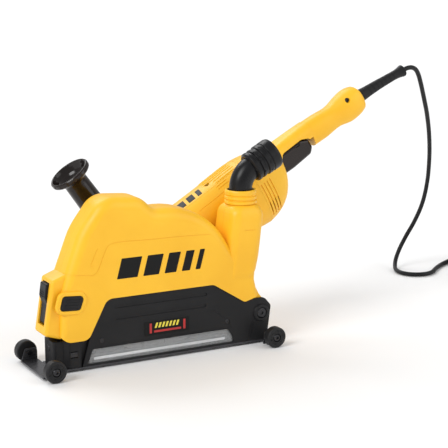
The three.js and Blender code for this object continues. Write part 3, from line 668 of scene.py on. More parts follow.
def build_plug():
    low = PLUG["low"]
    axis = low + PLUG["half"]
    plan = [[-20, -10, 8], [-4, -16, 12], [14, -19, 6], [22, -19, 3], [22, 19, 3], [14, 19, 6],
            [-4, 16, 12], [-20, 10, 8]]
    body = block("mains_plug", plan, low, low + 2 * PLUG["half"], 4.0, on_plug, steps=5)
    sleeve = turned("sleeve", [[0, -32], [5.6, -32, 1], [7.5, -14, 1], [0, -14]], "x", (0, 0, axis),
                    on_plug, 32)
    join(body, sleeve)
    for i in range(5):
        x = -8 + 4 * i
        for side in (-1, 1):
            join(body, box("rib", x - 0.8, x + 0.8, side * 14 - 3, side * 14 + 3, axis - 5, axis + 5,
                           on_plug, 0.6))
    for i in range(3):
        x = -29.5 + 3.6 * i
        cut(body, turned("groove", rectangle(5.0, x, 9, x + 1.4), "x", (0, 0, axis), on_plug, 32))
    dress(body, RUBBER, "hood", "plug")
    for i, y in enumerate((-9.5, 9.5)):
        pin = bar(f"plug_pin_{i}", 2.4, 20, 41, (0.2, 1.6), "x", (0, y, axis), on_plug, 24)
        dress(pin, STEEL, "hood")
        pin.parent = body
        pin.matrix_parent_inverse = body.matrix_world.inverted()
    return body


def build_tie():
    """A strap round the coil's nine turns."""
    centre = (COIL["x"] - 50.3, COIL["y"])
    outer = rectangle(-14.8, 0.2, 14.8, 28.2, 5)
    ring = [[centre[0] + x, z, r] for x, z, r in outer]
    inner = [[centre[0] + x * 0.92, 14.2 + (z - 14.2) * 0.92, r - 1] for x, z, r in outer]
    tie = slab("lead_tie", ring, centre[1] - 5, centre[1] + 5, 0.4)
    cut(tie, slab("tie_hole", inner, centre[1] - 8, centre[1] + 8))
    dress(tie, RUBBER, "hood")
    return tie


# ------------------------------------------------------------------ hood
CROWN = [
    [27, 122, 60], [36, 156, 40], [61, 223, 110], [101, 275, 38], [168, 270, 38], [191, 248, 20],
    [283.5, 248, 130], [338, 157, 12], [378, 142, 10], [374, 113, 20], [382, 80, 0],
]
SKIRT_REAR = [[460, 400, 0], [460, 84, 0], [382, 84, 5], [353, 76, 9]]
SKIRT_FRONT = [[20.5, 50, 20], [26, 115, 0], [-60, 160, 0], [-60, 400, 0]]
NEAR_SKIRT = SKIRT_REAR + [[294, 113, 18], [103, 113, 16], [70, 50, 15]] + SKIRT_FRONT
FAR_SKIRT = SKIRT_REAR + [[330, 56, 9], [92, 56, 4], [70, 50, 6]] + SKIRT_FRONT
OPEN_SKIRT = [[384, -60, 1], [21, -60, 1]]
NOSE_SIDE = [[0.7, 62, 5], [15.0, 150, 6], [42, 160, 8], [60, 160, 2], [40, 50, 2]]
NOSE_HOLLOW = [[-4.2, -60, 1], [1.3, 62, 1], [15.0, 150, 5], [42, 160, 2], [60, 148, 1], [40, -60, 1]]
BUTTON = [[21, 104, 5], [27, 127, 5], [63, 124, 6], [55, 102, 5]]
DUCT_HALF = 36.0
DUCT_LEVELS = [
    (111, 324, 366, 10), (113, 321, 369, 5.5), (116, 319, 372, 2), (120, 318.5, 375, 0.4),
    (128, 319, 379, 0), (150, 322, 384, 0), (172, 325, 387, 0), (195, 327.5, 389.5, 0), (210, 330, 392, 0),
    (219, 331, 393, 0.3),
    (225, 331.7, 392.3, 1.4), (230, 333, 391, 3), (234, 335.5, 388.5, 5.5), (237, 338.5, 385.5, 9),
    (239, 342, 382, 13),
]
SOFT_EDGE = {"low": 10.0, "high": 18.0, "from": 115.0, "over": 70.0}


def edge_at(z):
    """The hood's rims are tighter by the shoe and broad round the crown."""
    grow = smooth_step((z - SOFT_EDGE["from"]) / SOFT_EDGE["over"])
    return SOFT_EDGE["low"] + (SOFT_EDGE["high"] - SOFT_EDGE["low"]) * grow


def hood_solid(name, inset, steps=7):
    """The hood's full body, made smaller all round by inset."""
    shape = CROWN + OPEN_SKIRT
    outer = outline(shape, inset, 6)
    deep = outline(shape, inset + SOFT_EDGE["high"], 6)
    rings = []
    for side in (-1, 1):
        for i in range(steps + 1):
            a = math.radians(90 * (i if side < 0 else steps - i) / steps)
            ring = []
            for p, q in zip(outer, deep):
                edge = edge_at(p[1]) - inset
                move = (q - p) * edge * (1 - math.sin(a)) / SOFT_EDGE["high"]
                ring.append((p[0] + move[0], side * (HOOD["half"] - inset - edge * (1 - math.cos(a))),
                             p[1] + move[1]))
            rings.append(ring)
    return loft(name, rings)


def duct(name, inset):
    rings = []
    for height, x0, x1, shrink in DUCT_LEVELS:
        z = height - inset if height > 230 else height
        half = DUCT_HALF - inset - shrink
        corner = max(17.0 - inset, 4)
        plan = rectangle(x0 + inset, -half, x1 - inset, half, corner)
        rings.append([(a, b, z) for a, b in outline(plan, 0, 10)])
    return loft(name, rings)


def strip(points, width):
    """A closed outline that follows an open line at a constant width."""
    line = [np.array(p, float) for p in points]
    left, right = [], []
    for i, p in enumerate(line):
        ahead = line[min(i + 1, len(line) - 1)] - line[max(i - 1, 0)]
        ahead /= np.linalg.norm(ahead)
        side = np.array([-ahead[1], ahead[0]]) * width / 2
        left.append(p + side)
        right.append(p - side)
    return [[float(p[0]), float(p[1]), 0.0] for p in left + right[::-1]]


def groove(line, width, y0, y1):
    return slab("groove", strip(line, width), y0, y1)


def hood_shell(skirt, relief):
    shell = hood_solid("shell", 0.0)
    keep_inside(shell, slab("keep", skirt, -HOOD["half"] - 5, HOOD["half"] + 5))
    join(shell, duct("duct", 0.0), slab("nose", NOSE_SIDE, -24, 24, 5, steps=4), relief)
    inner = hood_solid("inner", HOOD["wall"], 5)
    nose = slab("hollow", NOSE_HOLLOW, -21.5, 21.5, 0, 2.5)
    cut(shell, inner, duct("duct_in", HOOD["wall"]), nose)
    return cut(shell, rod(23.5, 228, 250, "z", NECK_AT))


def pivot_lug(y0, y1):
    side = [[373, 40, 12.9], [399, 40, 12.9], [399, 66, 12.9], [383, 86, 4], [376, 100, 2], [373, 118, 2],
            [360, 118, 2], [364, 88, 8]]
    return slab("lug", side, y0, y1, 0.6)


def trim_hood(shell, y0, y1):
    slot = slab("slot", [[-6, 76, 1], [5, 145, 3], [19, 145, 1], [10, 76, 1]], -13.3, 13.3)
    hole = rod(5.3, -60, 60, "y", PIVOT_AT)
    cut(shell, slot, hole)
    return keep_inside(shell, box("half", -40, 440, y0, y1, 0, 320))


RELIEF_LINE = [(36, 159), (60, 157), (81, 155), (88, 162), (95, 178), (101, 192), (107, 200), (118, 203),
               (170, 202), (230, 201), (288, 199)]
INNER_RELIEF = [(88, 196), (83, 188), (79, 178), (75, 170), (81, 168)]


def build_hood():
    bezel = slab("bezel", BUTTON, -36.8, -29, 2.2, -7)
    near = hood_shell(NEAR_SKIRT, bezel)
    join(near, pivot_lug(-27.5, -22))
    cut(near, slab("button_hole", BUTTON, -45, -20, 0, -0.6))
    for line in (RELIEF_LINE, INNER_RELIEF):
        crease = groove(through_flat(line), 1.0, -40, -15)
        cut(crease, hood_solid("core", 0.5))
        cut(near, crease)
    for z, x0, x1 in ((199, 352, 371), (118, 345, 358)):
        cut(near, groove([(x0, z), (x1, z - 1)], 1.0, -37, -35.4))
    trim_hood(near, -60, -0.15)
    dress(near, YELLOW, "hood", "hood_near", bevel=0.45)
    collar = [[30, 30, 0], [46, 30, 0], [43, 39, 2], [36, 39, 2], [30, 36, 0]]
    far = hood_shell(FAR_SKIRT, turned("collar", collar, "y", SPINDLE_AT, sides=72))
    join(far, pivot_lug(22, 27.5))
    cut(far, rod(32.3, 20, 45, "y", SPINDLE_AT, sides=72))
    for i in range(4):
        z = 176 + 9 * i
        cut(far, groove([(105, z), (170 - 6 * i, z)], 2.0, 33.2, 36))
    trim_hood(far, 0.15, 60)
    dress(far, YELLOW, "hood", "hood_far", bevel=0.45)
    build_marks()
    build_neck()


def through_flat(points, step=4.0):
    return [(p[0], p[1]) for p in through([(x, z, 0.0) for x, z in points], step)]


def build_marks():
    """Plain slanted bars printed on the hood's near side."""
    top, low = 176.0, 143.0
    x = 120.0
    for i, width in enumerate((36, 28, 21, 15, 9)):
        corners = rectangle(x, low, x + width, top, 1.2, lean=9)
        mark = slab(f"mark_{i}", corners, -34.12, -33.9, 0.1, steps=2)
        dress(mark, PRINT, "hood", slot="black_plastic")
        x += width + 10


def build_neck():
    r, bore, low, high = NECK["radius"], NECK["bore"], NECK["low"], NECK["high"]
    profile = [[bore, low - 1], [r + 0.8, low - 1, 0.8], [r + 0.8, low + 3.4, 1.0],
               [r - 1.6, low + 4.6, 0.5], [r - 1.6, low + 5.6, 0.5], [r + 0.5, low + 7, 1.2],
               [r + 0.5, low + 10.6, 1.2], [r - 1.6, low + 12, 0.5], [r - 1.6, low + 13, 0.5],
               [r + 0.2, low + 14.4, 1.2], [r + 0.2, high - 2.6, 1.6], [r - 1.2, high, 1.4],
               [bore, high, 1.2]]
    neck = turned("dust_neck_threaded", profile, "z", NECK_AT, sides=72)
    dress(neck, YELLOW, "hood", "dust_neck")


def build_lever_and_button():
    side = [[5.6, 79, 2], [13.2, 79, 2], [18.5, 140, 2], [18.6, 143.5, 1], [9, 143.5, 3], [6, 122, 6],
            [10.2, 110, 4]]
    lever = slab("front_lever_ribbed", side, -12.6, 12.6, 1.6, steps=3)
    cut(lever, rod(2.3, -20, 20, "y", LEVER_PIN_AT, sides=24))
    for i in range(6):
        z = 118.5 + 3.6 * i
        cut(lever, box("rib", 2, 7.6 + 0.05 * i, -9.5, 9.5, z, z + 1.5))
    dress(lever, BLACK, "lever", "front_lever", bevel=0.35)
    pin = bar("lever_pin_turned", 2, -21.2, 21.2, (0.5, 0.5), "y", LEVER_PIN_AT, sides=24)
    dress(pin, STEEL, "hood", "lever_pin")
    button = slab("release_button_ribbed", BUTTON, -38.2, -27, 1.8, steps=4)
    for i in range(4):
        f = (i + 1) / 5
        low = (21 + 6 * f + 6, 104 + 23 * f)
        high = (55 + 8 * f - 6, 102 + 22 * f)
        cut(button, groove([low, high], 1.5, -40, -37.4))
    dress(button, BLACK, "release_button", "plunge_button", bevel=0.3)


# ------------------------------------------------------------------ elbow
def elbow_line(low, extra):
    turn = 90 - OUTLET_PITCH
    cx, cz, bend = NECK["x"] + ELBOW["bend"], ELBOW["start"], ELBOW["bend"]
    line = [(NECK["x"], 0, low), (NECK["x"], 0, cz - 0.01)]
    for k in range(1, 19):
        a = math.radians(turn * k / 18)
        line.append((cx - bend * math.cos(a), 0, cz + bend * math.sin(a)))
    a = math.radians(OUTLET_PITCH)
    line.append((line[-1][0] + extra * math.cos(a), 0, line[-1][2] + extra * math.sin(a)))
    return line


def build_elbow():
    line = elbow_line(241, 12)
    pipe = tube("elbow_moulded", line, [ELBOW["radius"]] * len(line), 56)
    collar = [[17, -4, 0], [22.8, -4, 1.2], [26, -1.5, 1.2], [26, 3.6, 1], [23.4, 4.6, 0.6],
              [23.4, 7.6, 0.6], [26, 8.6, 1], [26, 13.5, 1.2], [17, 13.5, 0]]
    join(pipe, turned("collar", collar, "x", place=on_outlet, sides=72))
    inner = elbow_line(230, 30)
    cut(pipe, tube("bore", inner, [ELBOW["radius"] - ELBOW["wall"]] * len(inner), 40))
    for i in range(8):
        a = 2 * math.pi * (i + 0.5) / 8
        cut(pipe, peg("notch", a, 26.5, 3.4 + 5.2, 2.6, 4.2, 2.6))
    cut(pipe, peg("gate", math.radians(250), 26.0, 5.8, 5.5, 3.4, 4.0))
    dress(pipe, SATIN, "elbow", "elbow_tube", bevel=0.3)
    profile = [[19, 14, 0.5], [23.6, 14, 0.6], [24.4, 18.4, 0.4], [26.8, 19.2, 1.2], [26.8, 27.5, 1.0],
               [25.6, 28.4, 0.4], [25.6, 30.2, 0.4], [27.0, 31, 1.0], [27.0, 42.5, 2.2], [25.6, 47, 1.6],
               [23.4, 47, 0.8], [22, 44.5, 0.5], [22, 20, 0], [19, 20, 0]]
    cuff = turned("hose_cuff", profile, "x", place=on_outlet, sides=84)
    for i in range(10):
        a = 2 * math.pi * i / 10
        cut(cuff, peg("grip", a, 27.4, 23.4, 5.0, 3.0, 1.6))
    for a in (math.radians(70), math.radians(250)):
        cut(cuff, peg("lock", a, 26.0, 29.3, 9.0, 1.9, 6.0))
    dress(cuff, SATIN, "hose_coupling", "hose_lock", bevel=0.35)


def peg(name, angle, radius, along, width, length, depth):
    """A small block set into a ring about the outlet axis, for notches."""
    c, s = math.cos(angle), math.sin(angle)

    def place(p):
        r = radius + p[2]
        return on_outlet((along + p[0], r * c - p[1] * s, r * s + p[1] * c))

    return box(name, -length / 2, length / 2, -width / 2, width / 2, -depth, 6, place, 0.7)


# ------------------------------------------------------------------ shoe
PANEL = [
    [60, 6.3, 1], [72, 48, 6], [94, 110, 12], [112, 124, 10], [300, 124, 10], [352, 94, 10], [366, 79, 6],
    [392, 79, 12], [405, 64, 8], [399, 20, 8], [392, 6.3, 1],
]
WINDOW = [[69, 9.5, 1], [78, 33, 1], [322, 33, 2], [331, 20, 5], [333, 9.5, 1]]
PANEL_SCREWS = ((94, 45), (321, 46))


def build_cover_panel():
    panel = slab("cover_panel_ribbed", PANEL, -31, -28)
    for z, x0, x1 in ((98, 118, 287), (79, 118, 285)):
        rib = [[x0, z - 3, 2.8], [x1, z - 3, 2.8], [x1 - 6, z + 3, 2.8], [x0 - 3, z + 3, 2.8]]
        cut(panel, slab("rib", rib, -33, -29.7))
    recess = [[97, 69, 2], [296, 69, 6], [319, 51, 8], [330, 35, 1], [80, 35, 1], [86, 52, 6]]
    cut(panel, slab("recess", recess, -33, -30.2))
    cut(panel, slab("window", WINDOW, -40, -20))
    join(panel, turned("boss", [[9.4, -34.4, 0.3], [14, -34.4, 2], [15.5, -30.5, 0], [9.4, -30.5, 0]], "y",
                       PIVOT_AT))
    cut(panel, rod(5.3, -40, -20, "y", PIVOT_AT))
    pocket = [[0, -40], [4.6, -40], [4.6, -29.8], [2.5, -29.8], [2.5, -20], [0, -20]]
    for x, z in PANEL_SCREWS:
        cut(panel, turned("pocket", pocket, "y", (x, 0, z), sides=32))
    cut(panel, groove([(368, 40), (361, 12)], 1.2, -33, -30.4),
        groove([(372, 40), (366, 12)], 1.2, -33, -30.4))
    dress(panel, BLACK, "shoe", "cover_panel", bevel=0.35)
    build_label()
    pane = slab("window_moulded", [[64, 6.6, 1], [75, 38, 1], [325, 38, 2], [337, 22, 4], [338, 6.6, 1]],
                -27.7, -25.9, 0.4, steps=2)
    for z in (12, 25):
        cut(pane, groove([(80, z), (318, z)], 1.0, -28.5, -27.3))
    dress(pane, CLEAR, "shoe", "window_pane", bevel=0.2)
    ridge = slab("window_ridge", rectangle(80, 14.4, 318, 19, 2), -28.4, -27.5, 0.4, steps=2)
    dress(ridge, FROSTED, "shoe")
    profile = [[0, -31], [3.2, -31, 0.8], [4.3, -30.2, 0.2], [2.2, -29.9], [2.2, -23], [0, -23]]
    for place, (x, z) in zip(("front", "rear"), PANEL_SCREWS):
        screw = turned(f"panel_screw_{place}_turned", profile, "y", (x, 0, z), sides=32)
        cut(screw, star("drive", x, z, -32, -30.2, 2.0))
        dress(screw, BLACKENED, "shoe", f"panel_screw_{place}")


def star(name, x, z, y0, y1, size, place=machine):
    """A six-lobed drive recess."""
    corners = []
    for i in range(12):
        a = math.pi * i / 6
        r = size * (1.0 if i % 2 == 0 else 0.68)
        corners.append([x + r * math.cos(a), z + r * math.sin(a), 0.15 * size])
    return slab(name, corners, y0, y1, place=place, arc_step=30)


def build_label():
    plate = slab("label_plate", rectangle(168, 41, 250, 65, 1.5), -30.5, -30.1, 0.1, steps=2)
    dress(plate, PRINT, "shoe")
    for i in range(7):
        x = 187 + 6.4 * i
        corners = rectangle(x, 53, x + 3.6, 61.5, 0.4, lean=3)
        mark = slab(f"label_bar_{i}", corners, -30.62, -30.4, 0.05, steps=1)
        dress(mark, MARK_YELLOW, "shoe")
    for name, x0, x1, z0, z1 in (("left", 178, 182, 45, 61.5), ("right", 239, 243, 45, 61.5),
                                 ("under", 186, 235, 45.5, 49)):
        corners = rectangle(x0, z0, x1, z1, 0.4)
        mark = slab(f"label_{name}", corners, -30.62, -30.4, 0.05, steps=1)
        dress(mark, MARK_RED, "shoe")


def build_front_block():
    plan = [[15, -20.7, 6], [32, -20.7, 3], [39, -30.9, 6], [58, -30.9, 1], [58, -25.4, 0.5],
            [76, -25.4, 1], [76, 27.6, 1], [39, 27.6, 4], [32, 20.7, 3], [15, 20.7, 6]]
    body = block("front_block_moulded", plan, 6.3, 50, 0.8)
    cut(body, slab("slot", rectangle(40, 23, 52, 34, 1), -40, -26))
    cut(body, box("slit", 60, 100, -24, 24, 10, 60))
    dress(body, BLACK, "shoe", "front_block", bevel=0.4)
    pin = bar("block_pin", 4.6, 38, 54, (1.2, 0.3), "x", (0, -28.0, 28.5), sides=24)
    keep_inside(pin, box("room", 40.1, 51.9, -30.4, -26.1, 23.1, 33.9))
    dress(pin, BLACKENED, "shoe")
    bolt = turned("block_bolt", [[0, 13.6], [4.6, 13.6, 0.8], [5.4, 14.9, 0], [0, 14.9]], "x", (0, 0, 37),
                  sides=32)
    dress(bolt, BLACKENED, "shoe")


def build_wheels():
    for place, x in (("front", 0.0), ("rear", 394.0)):
        for hand, side in (("near", -1), ("far", 1)):
            wheel = wheel_piece(f"wheel_{place}_{hand}_moulded", x, side)
            dress(wheel, TYRE, f"{place}_{hand}_wheel", f"wheel_{place}_{hand}", bevel=0.25)
            bolt = axle_bolt(f"axle_bolt_{place}_{hand}_turned", x, side)
            dress(bolt, BLACKENED, "shoe", f"axle_bolt_{place}_{hand}")


def wheel_piece(name, x, side):
    profile = [[4.4, 56.5], [16, 56.5, 1.4], [17.5, 58.2, 1.2], [17.5, 69.8, 1.2], [16, 71.5, 1.4],
               [13.6, 71.5, 0.6], [12.6, 70.2, 0.6], [9.4, 70.2, 0.6], [8.6, 71.5, 0.6],
               [7.2, 71.5, 0.3], [7.2, 67.3, 0.3], [4.4, 67.3]]
    wheel = turned(name, mirrored(profile, side), "y", (x, 0, AXLE_HEIGHT), sides=72)
    for dx, dz in around(6, 11.0, 0.3):
        cut(wheel, rod(1.1, side * 69.3, side * 72, "y", (x + dx, 0, AXLE_HEIGHT + dz), sides=16))
    return wheel


def axle_bolt(name, x, side):
    profile = [[0, 45], [4, 45, 0.4], [4, 67.8, 0], [6.5, 67.8, 0.3], [6.5, 70.4, 1.2], [5, 72, 0.8],
               [0, 72]]
    bolt = turned(name, mirrored(profile, side), "y", (x, 0, AXLE_HEIGHT), sides=32)
    corners = [[x + dx, AXLE_HEIGHT + dz, 0.2] for dx, dz in around(6, 2.9)]
    return cut(bolt, slab("hex", corners, *flank(side, 69.6, 75)))


def build_brackets():
    plate = block("base_plate_bright", [[15, -31, 4], [391, -31, 2], [391, 31, 2], [15, 31, 4]], 3, 6, 0.5)
    cut(plate, block("slot", rectangle(112, -8, 290, 8, 7), 0, 10))
    for x in (60, 340):
        cut(plate, rod(2.6, 0, 10, "z", (x, 16, 0), sides=24))
    dress(plate, COATED, "shoe", "base_plate", bevel=0.25)
    for name, axle, plate_x, ear_x, slope in (("front", 0.0, (-14, 14.7), (-14, 14), 7),
                                              ("rear", 394.0, (391.3, 408), (380, 408), 3)):
        bracket = box(f"{name}_bracket_bent", plate_x[0], plate_x[1], -50, 50, 3, 6, edge=0.5)
        ear = [[ear_x[0], 3, 1], [ear_x[1], 3, 1], [ear_x[1], 25, 6], [ear_x[0] + slope, 25, 5]]
        for side in (-1, 1):
            join(bracket, slab("ear", ear, *flank(side, 47.5, 50), 0.5, steps=2))
        cut(bracket, rod(4.3, -60, 60, "y", (axle, 0, AXLE_HEIGHT), sides=32))
        for y in (-34, 34):
            cut(bracket, rod(2.4, 0, 10, "z", ((plate_x[0] + plate_x[1]) / 2, y, 0), sides=24))
        dress(bracket, COATED, "shoe", f"{name}_bracket", bevel=0.25)


def build_pivot():
    head = [[0, -34.2], [7.6, -34.2, 1], [8.8, -33.2, 0.6], [8.8, -31.3, 0.2], [5, -31.3, 0], [5, 38, 0.8],
            [0, 38]]
    pin = turned("pivot_pin_turned", head, "y", PIVOT_AT)
    cut(pin, star("drive", PIVOT[0], PIVOT[1], -40, -32.4, 3.4))
    dress(pin, BLACKENED, "shoe", "pivot_pin")
    corners = [[PIVOT[0] + dx, PIVOT[1] + dz, 0.5] for dx, dz in around(6, 9)]
    nut = slab("pivot_nut_cut", corners, 31.3, 37, 0.8, steps=2)
    cut(nut, rod(5.3, 20, 40, "y", PIVOT_AT, sides=32))
    dress(nut, STEEL, "shoe", "pivot_nut")
    line = []
    for i in range(6 * 24 + 1):
        a = 2 * math.pi * i / 24
        line.append((PIVOT[0] + 9 * math.cos(a), -14 + 4.6 * i / 24, PIVOT[1] + 9 * math.sin(a)))
    spring = tube("return_spring_wound", line, [1.1] * len(line), 10)
    dress(spring, STEEL, "shoe", "return_spring", sharp=60)


def build_far_panel():
    wall = [[39, 6.3, 1], [39, 45, 3], [70, 60, 4], [340, 60, 6], [366, 79, 6], [392, 79, 12], [405, 64, 8],
            [399, 20, 8], [392, 6.3, 1]]
    panel = slab("far_panel_ribbed", wall, 28, 31)
    for z in (20, 34):
        cut(panel, slab("rib", [[70, z, 2.5], [345, z, 2.5], [340, z + 5, 2.5], [75, z + 5, 2.5]], 30.2,
                        33))
    cut(panel, rod(5.3, 20, 40, "y", PIVOT_AT, sides=40))
    dress(panel, BLACK, "shoe", "far_panel", bevel=0.35)
    rear = block("rear_block_moulded", rectangle(342, -25.5, 374, 27.6, 2), 6.3, 30, 1.2)
    dress(rear, BLACK, "shoe", "rear_block")


# ------------------------------------------------------------------ grinder
HOUSING = [(58.3, 46, -47, 47), (80, 46, -48, 48), (120, 46, -51, 48), (180, 46, -62, 48),
           (225, 47, -78, 49), (255, 47, -83, 50)]
BELL = [(255.3, 47, -83, 50), (273, 44, -80, 49), (294, 38, -71, 46), (308, 33, -59, 41),
        (317, 31, -45, 36), (323, 29, -28, 30), (325, 28, -14, 27)]
GRIP = [(402, 27, -21, 21), (430, 25, -22.5, 21.5), (464, 21.5, -22, 21), (488, 26, -28, 24),
        (504, 27.5, -28, 25), (519, 25, -25, 23), (524, 22.5, -22.5, 21), (527, 18, -18, 17)]
BEAM = [(316, 28.5, 0.8, 26), (345, 28, 0.8, 23.5), (385, 27.4, 0.8, 21.4), (405, 26.6, 0.8, 20.6)]
SECTION_POWER = 0.85


def finer(sections, step=4.0):
    """More sections by a smooth line through the given ones."""
    table = np.array(sections, float)
    stations = table[:, 0]
    count = max(len(stations), int((stations[-1] - stations[0]) / step) + 1)
    wanted = np.unique(np.concatenate([np.linspace(stations[0], stations[-1], count), stations]))
    columns = [wanted]
    for c in range(1, 4):
        slope = np.gradient(table[:, c], stations)
        columns.append(hermite(stations, table[:, c], slope, wanted))
    return [tuple(row) for row in np.stack(columns, axis=1)]


def hermite(x, y, slope, wanted):
    out = []
    for w in wanted:
        i = min(max(int(np.searchsorted(x, w)) - 1, 0), len(x) - 2)
        h = x[i + 1] - x[i]
        t = (w - x[i]) / h
        out.append((2 * t**3 - 3 * t**2 + 1) * y[i] + (t**3 - 2 * t**2 + t) * h * slope[i]
                   + (-2 * t**3 + 3 * t**2) * y[i + 1] + (t**3 - t**2) * h * slope[i + 1])
    return np.array(out)


def crest(s, y):
    """Height of the motor housing's top surface at a station and a place across it."""
    stations = [row[0] for row in HOUSING]
    top = float(np.interp(s, stations, [row[1] for row in HOUSING]))
    half = float(np.interp(s, stations, [row[3] for row in HOUSING]))
    return top * (1 - (abs(y) / half) ** (2 / SECTION_POWER)) ** (SECTION_POWER / 2)


def section_ring(section, inset=0.0, sides=64, power=SECTION_POWER):
    s, top, bottom, half = section
    points = []
    for i in range(sides):
        a = 2 * math.pi * i / sides
        up, out = math.sin(a), math.cos(a)
        reach = top - inset if up > 0 else -bottom - inset
        points.append((s, (half - inset) * math.copysign(abs(out) ** power, out),
                       reach * math.copysign(abs(up) ** power, up)))
    return points


def section_loft(name, sections, inset=0.0):
    return loft(name, [section_ring(r, inset) for r in finer(sections)], on_tool)


def tool_slot(s0, s1, n0, n1, y0, y1, radius=1.2):
    corners = rectangle(s0, n0, s1, n1, radius)
    return slab("vent", corners, y0, y1, place=on_tool)


def along_crest(name, s0, s1, y, radius, lift=0.0):
    """A round bar that lies along the top of the motor housing, with soft ends."""
    stations = [s0, s0 + 2, s0 + 5] + [s0 + (s1 - s0) * i / 6 for i in range(1, 6)] + [s1 - 5, s1 - 2, s1]
    radii = [0.4 * radius, 0.8 * radius] + [radius] * 7 + [0.8 * radius, 0.4 * radius]
    return tube(name, [(s, y, crest(s, y) + lift) for s in stations], radii, 12, on_tool)


def build_motor_housing():
    housing = section_loft("motor_housing_vented", HOUSING)
    hollow = [(50, 46, -46, 46)] + HOUSING[1:-1] + [(248, 47, -82, 50)]
    cut(housing, section_loft("hollow", hollow, 3.2))
    cut(housing, rod(16.2, 240, 262, "x", place=on_tool))
    for side in (-1, 1):
        cut(housing, box("window", 240, 262, side * 30 - 9, side * 30 + 9, -12, 12, on_tool))
        for y in (side * 27.5, side * 32.5):
            cut(housing, along_crest("slit", 194, 220, y, 1.4))
        cut(housing, along_crest("crease", 142, 214, side * 39.5, 0.9))
        cut(housing, along_crest("crease", 70, 250, side * 22.5, 0.6))
    for i in range(6):
        join(housing, along_crest("rib", 183 + 16 * (i < 2), 246, -18.5 + 7.4 * i, 1.7, -0.5))
    cut(housing, rod(4.6, 35, 60, "z", HOUSING_SCREW_AT, on_tool, 32))
    for i in range(7):
        s = 84 + 9 * i
        cut(housing, tool_slot(s, s + 3.2, -16, 14, 30, 60, 1.4))
    join(housing, turned("cap_seat", [[0, 40], [13, 40, 0], [11.5, 51, 1.5], [0, 51]], "y", BRUSH_CAP_AT,
                         on_tool, 48))
    cut(housing, rod(9.3, 49, 60, "y", BRUSH_CAP_AT, on_tool, 48))
    dress(housing, YELLOW, "hood", "motor_housing", bevel=0.35)
    screw = bar("housing_screw", 4.2, 36, 41, (0.4, 1), "z", HOUSING_SCREW_AT, on_tool, 28)
    dress(screw, BLACKENED, "hood")
    cap = bar("brush_cap", 8.9, 46.6, 50.6, (0.4, 1), "y", BRUSH_CAP_AT, on_tool, 40)
    cut(cap, slab("drive", rectangle(215, -1, 227, 1), 49.4, 55, place=on_tool))
    dress(cap, BLACK, "hood")
    build_housing_marks()


def build_housing_marks():
    """Plain bars printed on top of the motor housing."""
    s = 116.0
    for i, length in enumerate((20, 14, 9)):
        corners = rectangle(s, -18, s + length, 2, 1, lean=4)
        mark = block(f"housing_mark_{i}", corners, 30, 60, place=on_tool)
        keep_inside(mark, section_loft("skin", HOUSING, -0.14))
        cut(mark, section_loft("core", HOUSING, 0.3))
        dress(mark, PRINT, "hood", slot="black_plastic")
        s += length + 6


def beam_ring(section, inset=0.0):
    s, top, bottom, half = section
    plan = [[-half + inset, bottom, 0.5], [half - inset, bottom, 0.5], [half - inset, top - inset, 15],
            [-half + inset, top - inset, 15]]
    return [(s, a, b) for a, b in outline(plan, 0, 9)]


HANDLE_SCREWS = ((494, 16), (283, 16))


def cut_flutes(shell):
    """Slanted flutes with a vent in each, down both flanks of the bell."""
    for i in range(4):
        s = 259 + 6.5 * i
        lean = rectangle(s, -64, s + 2.2, 3, 1)
        for side in (-1, 1):
            y0, y1 = flank(side, 12, 60)
            flute = slab("flute", lean, y0, y1, place=on_tool)
            cut(flute, section_loft("core", BELL, 1.5))
            cut(shell, flute)
            cut(shell, tool_slot(s, s + 2.2, -58, -36, y0, y1, 1.0))


def build_handles():
    shell = section_loft("shell", BELL)
    join(shell, loft("beam", [beam_ring(s) for s in finer(BEAM)], on_tool), section_loft("grip", GRIP))
    cut(shell, section_loft("bell", [(250, 47, -83, 50)] + BELL[1:5] + [(319, 29, -35, 33)], 3.4))
    pocket = [[321, -44, 0], [321, -6, 6], [333, 12.6, 8], [378, 11.5, 10], [394, 3.6, 8], [396.4, -12, 2],
              [398, -44, 0]]
    cut(shell, box("room", 300, 392, -15, 15, 4, 18.6, on_tool),
        box("trigger_room", 322, 394, -19, 19, -40, 16, on_tool),
        rod(9, 390, 540, "x", GRIP_BORE_AT, on_tool, 40),
        rod(13.3, 512, 540, "x", GRIP_BORE_AT, on_tool, 48),
        slab("pocket", pocket, -30, 30, place=on_tool))
    cut_flutes(shell)
    for s, n in HANDLE_SCREWS:
        for side in (-1, 1):
            cut(shell, rod(4.5, *flank(side, 14, 60), "y", (s, 0, n), on_tool, 28))
    far = copy_of(shell, "handle_far_moulded")
    shell.name = "handle_near_moulded"
    keep_inside(shell, box("half", 200, 600, -70, -0.15, -100, 100, on_tool))
    keep_inside(far, box("half", 200, 600, 0.15, 70, -100, 100, on_tool))
    dress(shell, YELLOW, "hood", "handle_near", bevel=0.35)
    dress(far, YELLOW, "hood", "handle_far", bevel=0.35)
    build_handle_screws()


def build_handle_screws():
    for i, (s, n) in enumerate(HANDLE_SCREWS):
        screw = bar(f"handle_screw_{i}", 3.9, -19.5, -14.2, (0.9, 0), "y", (s, 0, n), on_tool, 28)
        cut(screw, star("drive", s, n, -22, -18.2, 2.2, on_tool))
        dress(screw, BLACKENED, "hood")


